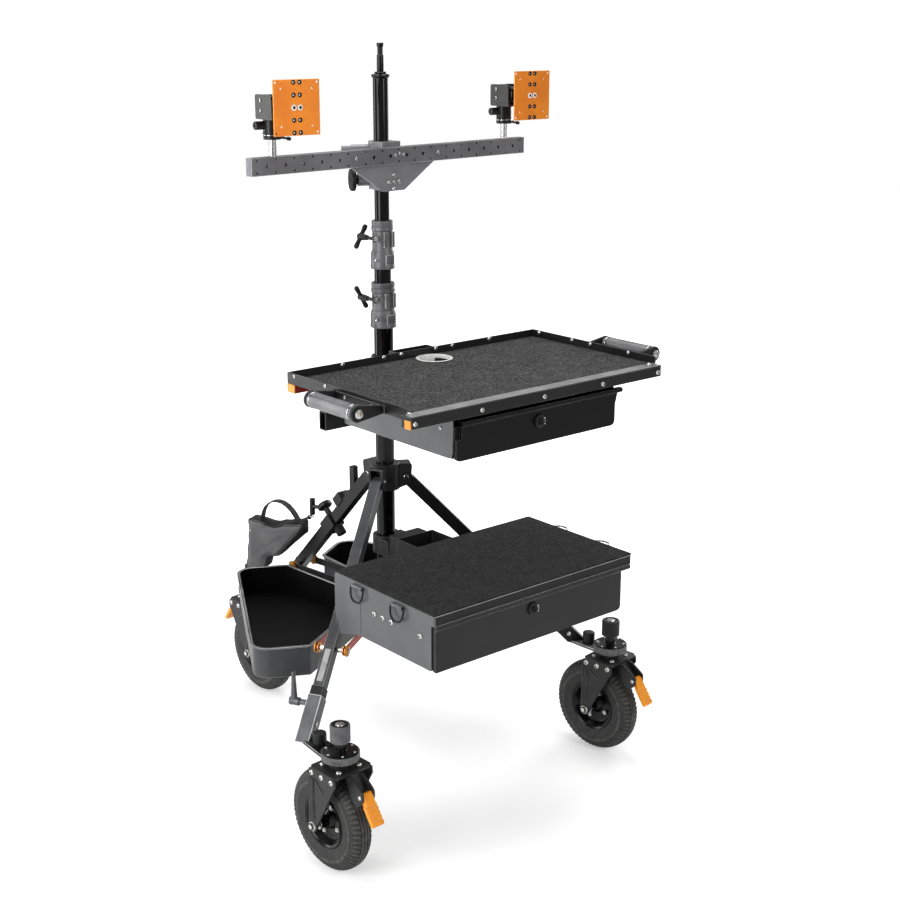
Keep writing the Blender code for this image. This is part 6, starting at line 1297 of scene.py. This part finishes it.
bin_floor = 0.3535
bin_rim = 0.4285
rim_reach = 0.005
bin_wall = 0.0025
for name, azimuth, tabs in (("bin_left", 151.5, (("left", -0.0435, -0.0363), ("back", 0.0363, 0.0424))),
        ("bin_back", 31.5, (("back", -0.0488, -0.0363), ("right", 0.0363, 0.0478)))):
    turn = swing(azimuth)
    tub = tub_slice(rim_reach, bin_floor, bin_rim - 0.0004)
    cut(tub, tub_slice(rim_reach + bin_wall, bin_floor + bin_wall, bin_rim + 0.01))
    flange = tub_slice(0, bin_rim - 0.004, bin_rim)
    cut(flange, tub_slice(rim_reach + 0.0006, bin_rim - 0.01, bin_rim + 0.01))
    shell = laid(joined(softened(tub, 0.0008, 2, 50), softened(flange, 0.0012, 3, 50)), turn)
    hooks = [laid(softened(slab(0.111, 0.129, near, far, bin_rim - 0.0035, bin_rim + 0.008), 0.001),
        swing(LEG_WAY[side])) for side, near, far in tabs]
    piece(joined(shell, *hooks), name, "base", BIN_GREY, name)
    lining = tub_slice(0.0076, 0.3561, 0.4275)
    cut(lining, tub_slice(0.0084, 0.357, 0.437))
    piece(laid(softened(lining, 0, angle=30), turn), name + "_lining", "base", BIN_LINING)


# Bag: a slack pouch of woven polyester, sewn from a front and a back panel with a black gusset
# round them and a bound seam; it hangs from the back leg's hook. Its cloth is simulated.
def fabric(name, base, second, thread_mm, roughness, sheen, bump):
    """A plain weave: threads over and under each other, with tone that drifts over the panel."""
    made, tree, shader = finish(name, Roughness=roughness, Sheen_Weight=sheen, Sheen_Roughness=0.4)
    place = add(tree, "TexCoord").outputs["Object"]
    level = add(tree, "Mapping", {"Rotation": (0, 0, -radians(bag_turn))}, {"Vector": place})
    scale = 2 * pi / (thread_mm / 1000) / 20
    warp, weft = [add(tree, "TexWave", {"Scale": scale, "Distortion": 0.4}, {"Vector": level},
        wave_type="BANDS", bands_direction=way) for way in ("X", "Z")]
    threads = add(tree, "Math", None, {0: warp.outputs[1], 1: weft.outputs[1]}, operation="MAXIMUM")
    drift = add(tree, "TexNoise", {"Scale": 28.0, "Detail": 5.0}, {"Vector": place})
    tone = add(tree, "MapRange", {"From Min": 0.35, "From Max": 0.65}, {"Value": drift})
    mixed = add(tree, "Mix", {6: colour(base), 7: colour(second)}, {0: tone}, data_type="RGBA")
    shade = add(tree, "MapRange", {"To Min": 0.72, "To Max": 1.0}, {"Value": threads})
    woven = add(tree, "Mix", {0: 1.0}, {6: mixed.outputs[2], 7: shade}, data_type="RGBA",
        blend_type="MULTIPLY")
    fed(shader, {"Base Color": woven.outputs[2]})
    relief = add(tree, "Bump", {"Strength": bump, "Distance": thread_mm / 2000}, {"Height": threads})
    fed(shader, {"Normal": relief})
    return made


bag_turn = 117
# Woven polyester of the front and back panels: mid grey, matt, with a faint grid of threads.
BAG_CLOTH = fabric("grey_woven_polyester", "#666667", "#58585a", 0.9, 0.85, 0.12, 0.35)
# Black polyester of the gusset, the top opening and the binding: darker, a little smoother.
BAG_BLACK = fabric("black_woven_gusset", "#0c0c0c", "#151515", 0.9, 0.8, 0.03, 0.35)
# Ribbed webbing of the carrying loop: coarse threads that show as fine lines along it.
WEBBING = fabric("black_ribbed_webbing", "#080808", "#121212", 1.6, 0.75, 0.03, 0.6)
bag_place = shift(-0.057, 0.276) @ swing(bag_turn)
bag_front = [(0, 0.552), (0.018, 0.522), (0.066, 0.45), (0.108, 0.44), (0.122, 0.406), (0.186, 0.404),
    (0.18, 0.47), (0.17, 0.552), (0.085, 0.546)]
bag_back = [(0.002, 0.566), (-0.004, 0.526), (0.068, 0.45), (0.108, 0.44), (0.122, 0.406), (0.182, 0.404),
    (0.178, 0.47), (0.168, 0.556), (0.085, 0.556)]
bag_thick = 0.045
swell = 0.0045


def drawn_in(ring, by):
    """An outline moved towards its own middle, so that the simulated cloth has room to swell."""
    middle = Vector((sum(p[0] for p in ring) / len(ring), sum(p[1] for p in ring) / len(ring)))
    return [Vector(point) + (middle - Vector(point)).normalized() * by for point in ring]


def pouch():
    """The panels and the gusset as one closed shell of five slices."""
    front = drawn_in(bag_front, swell)
    back = drawn_in(bag_back, swell)
    count = len(front)
    points = []
    for mix in (0, 0.25, 0.5, 0.75, 1):
        y = -swell - (bag_thick - 2 * swell) * mix
        points += [(p.x, y, p.y) for p in [a.lerp(b, mix) for a, b in zip(front, back)]]
    faces = [list(range(count)), [4 * count + i for i in range(count)]]
    for low in range(0, 4 * count, count):
        for i in range(count):
            j = (i + 1) % count
            faces.append([low + i, low + j, low + count + j, low + count + i])
    bpy.ops.object.select_all(action="DESELECT")
    bpy.ops.mesh.primitive_cube_add(size=1)
    shell = bpy.context.object
    shell.data = bpy.data.meshes.new("pouch")
    shell.data.from_pydata(points, [], faces)
    chosen(shell)
    return edited(OUTWARDS)


SETTLE_FRAMES = 20


def swollen(obj, pressure, cap):
    """Remeshes a shell finely, lets cloth pressure fill it, and caps how far a point may go."""
    modified(obj, "REMESH", mode="VOXEL", voxel_size=0.0045)
    start = [vertex.co.copy() for vertex in obj.data.vertices]
    cloth = obj.modifiers.new("cloth", "CLOTH")
    cloth.settings.use_pressure = True
    cloth.settings.uniform_pressure_force = pressure
    cloth.settings.effector_weights.gravity = 0
    scene = bpy.context.scene
    for frame_number in range(1, SETTLE_FRAMES + 1):
        scene.frame_set(frame_number)
    shape = obj.evaluated_get(bpy.context.evaluated_depsgraph_get()).to_mesh()
    end = [vertex.co.copy() for vertex in shape.vertices]
    obj.modifiers.remove(cloth)
    scene.frame_set(1)
    for vertex, a, b in zip(obj.data.vertices, start, end):
        way = b - a
        vertex.co = a + way * min(1.0, cap / max(way.length, 1e-9))
    return obj


# Creases of both panels: (start, end, width, depth), along the panel and up from the floor.
CREASES = [((0.03, 0.52), (0.128, 0.418), 0.005, 0.0026), ((0.06, 0.512), (0.15, 0.452), 0.0042, -0.002),
    ((0.04, 0.545), (0.094, 0.528), 0.0036, 0.0022), ((0.094, 0.53), (0.112, 0.55), 0.0036, 0.0026),
    ((0.112, 0.5), (0.168, 0.478), 0.006, 0.0014), ((0.098, 0.532), (0.104, 0.508), 0.004, -0.002)]


def creased(obj):
    """Presses folds into the panels, and lets the middle of their top edge sag."""
    for vertex in obj.data.vertices:
        x, y, z = vertex.co
        move = 0.0
        for (x0, z0), (x1, z1), width, depth in CREASES:
            run = Vector((x1 - x0, z1 - z0))
            t = max(0.0, min(1.0, Vector((x - x0, z - z0)).dot(run) / run.length_squared))
            off = hypot(x - x0 - run.x * t, z - z0 - run.y * t)
            move += depth * exp(-(off / width) ** 2) * sin(pi * (0.15 + 0.7 * t))
        toward = 1.0 if y > -bag_thick / 2 else -1.0
        edge = min(1.0, abs(y + bag_thick / 2) / (bag_thick / 2 - 0.002))
        vertex.co.y += toward * move * edge ** 2
        if z > 0.515:
            sag = exp(-((x - 0.098) / 0.022) ** 2) * (z - 0.515) / 0.035
            vertex.co.z -= 0.01 * sag * (0.4 + 0.6 * (y + bag_thick) / bag_thick)
    return obj


pouch_obj = modified(creased(swollen(pouch(), 4.0, 0.006)), "SUBSURF", levels=1)
bpy.ops.object.shade_smooth()
gusset = [-bag_thick + 0.0085 < face.center.y < -0.0085 for face in pouch_obj.data.polygons]
seam_spots = []
for ring, y in ((drawn_in(bag_front, 0.001), -0.001), (drawn_in(bag_back, 0.001), -bag_thick + 0.001)):
    path = [a.lerp(b, k / 8) for a, b in zip(ring, ring[1:] + ring[:1]) for k in range(8)]
    seam_spots.append([pouch_obj.closest_point_on_mesh((x, y, z))[1].copy() for x, z in path])
bag_body = piece(laid(pouch_obj, bag_place), "bag_body", "base", BAG_CLOTH, "bag")
bag_body.data.materials.append(BAG_BLACK)
for face, dark in zip(bag_body.data.polygons, gusset):
    face.material_index = 1 if dark else 0
seams = [laid(wire(spots, 0.0013, True), bag_place) for spots in seam_spots]
piece(joined(*seams), "bag_bound_seams", "base", BAG_BLACK)

# Carrying loop: a flat strap of ribbed webbing, bent to an arch and sewn on behind the front
# panel's top edge.
loop_path = [(0.132, 0.538), (0.1305, 0.55), (0.1262, 0.568), (0.119, 0.583), (0.1075, 0.5945),
    (0.095, 0.6003), (0.082, 0.6018), (0.068, 0.5995), (0.054, 0.592), (0.042, 0.581), (0.031, 0.566),
    (0.0235, 0.554), (0.018, 0.54)]
outer = []
inner = []
strap_half = 0.0013
for i, (x, z) in enumerate(loop_path):
    before, after = loop_path[max(i - 1, 0)], loop_path[min(i + 1, len(loop_path) - 1)]
    way = (Vector(after) - Vector(before)).normalized()
    outer.append((x - way.y * strap_half, z + way.x * strap_half))
    inner.append((x + way.y * strap_half, z - way.x * strap_half))
strap = prism(outer + inner[::-1], 0.022)
laid(strap, bag_place @ shift(y=-0.01) @ swing(90, "X"))
strap = piece(softened(strap, 0.0006, 2, 50), "bag_carrying_loop", "base", WEBBING)

# Hanging tab: a short strap sewn into the top seam, with a small plated ring that hangs on the
# back leg's hook.
tab = prism([(0, 0.556), (0.01, 0.558), (0.006, 0.5668), (-0.004, 0.5668)], 0.01)
laid(tab, bag_place @ shift(y=-0.036) @ swing(90, "X"))
piece(softened(tab, 0.0008), "bag_tab", "base", WEBBING)
ring = [(x - 0.004, y - 0.041, 0.566) for x, y in circle(12, 0.0075)]
piece(laid(wire(ring, 0.0012, True), bag_place), "bag_buckle", "base", BRIGHT_SCREW)
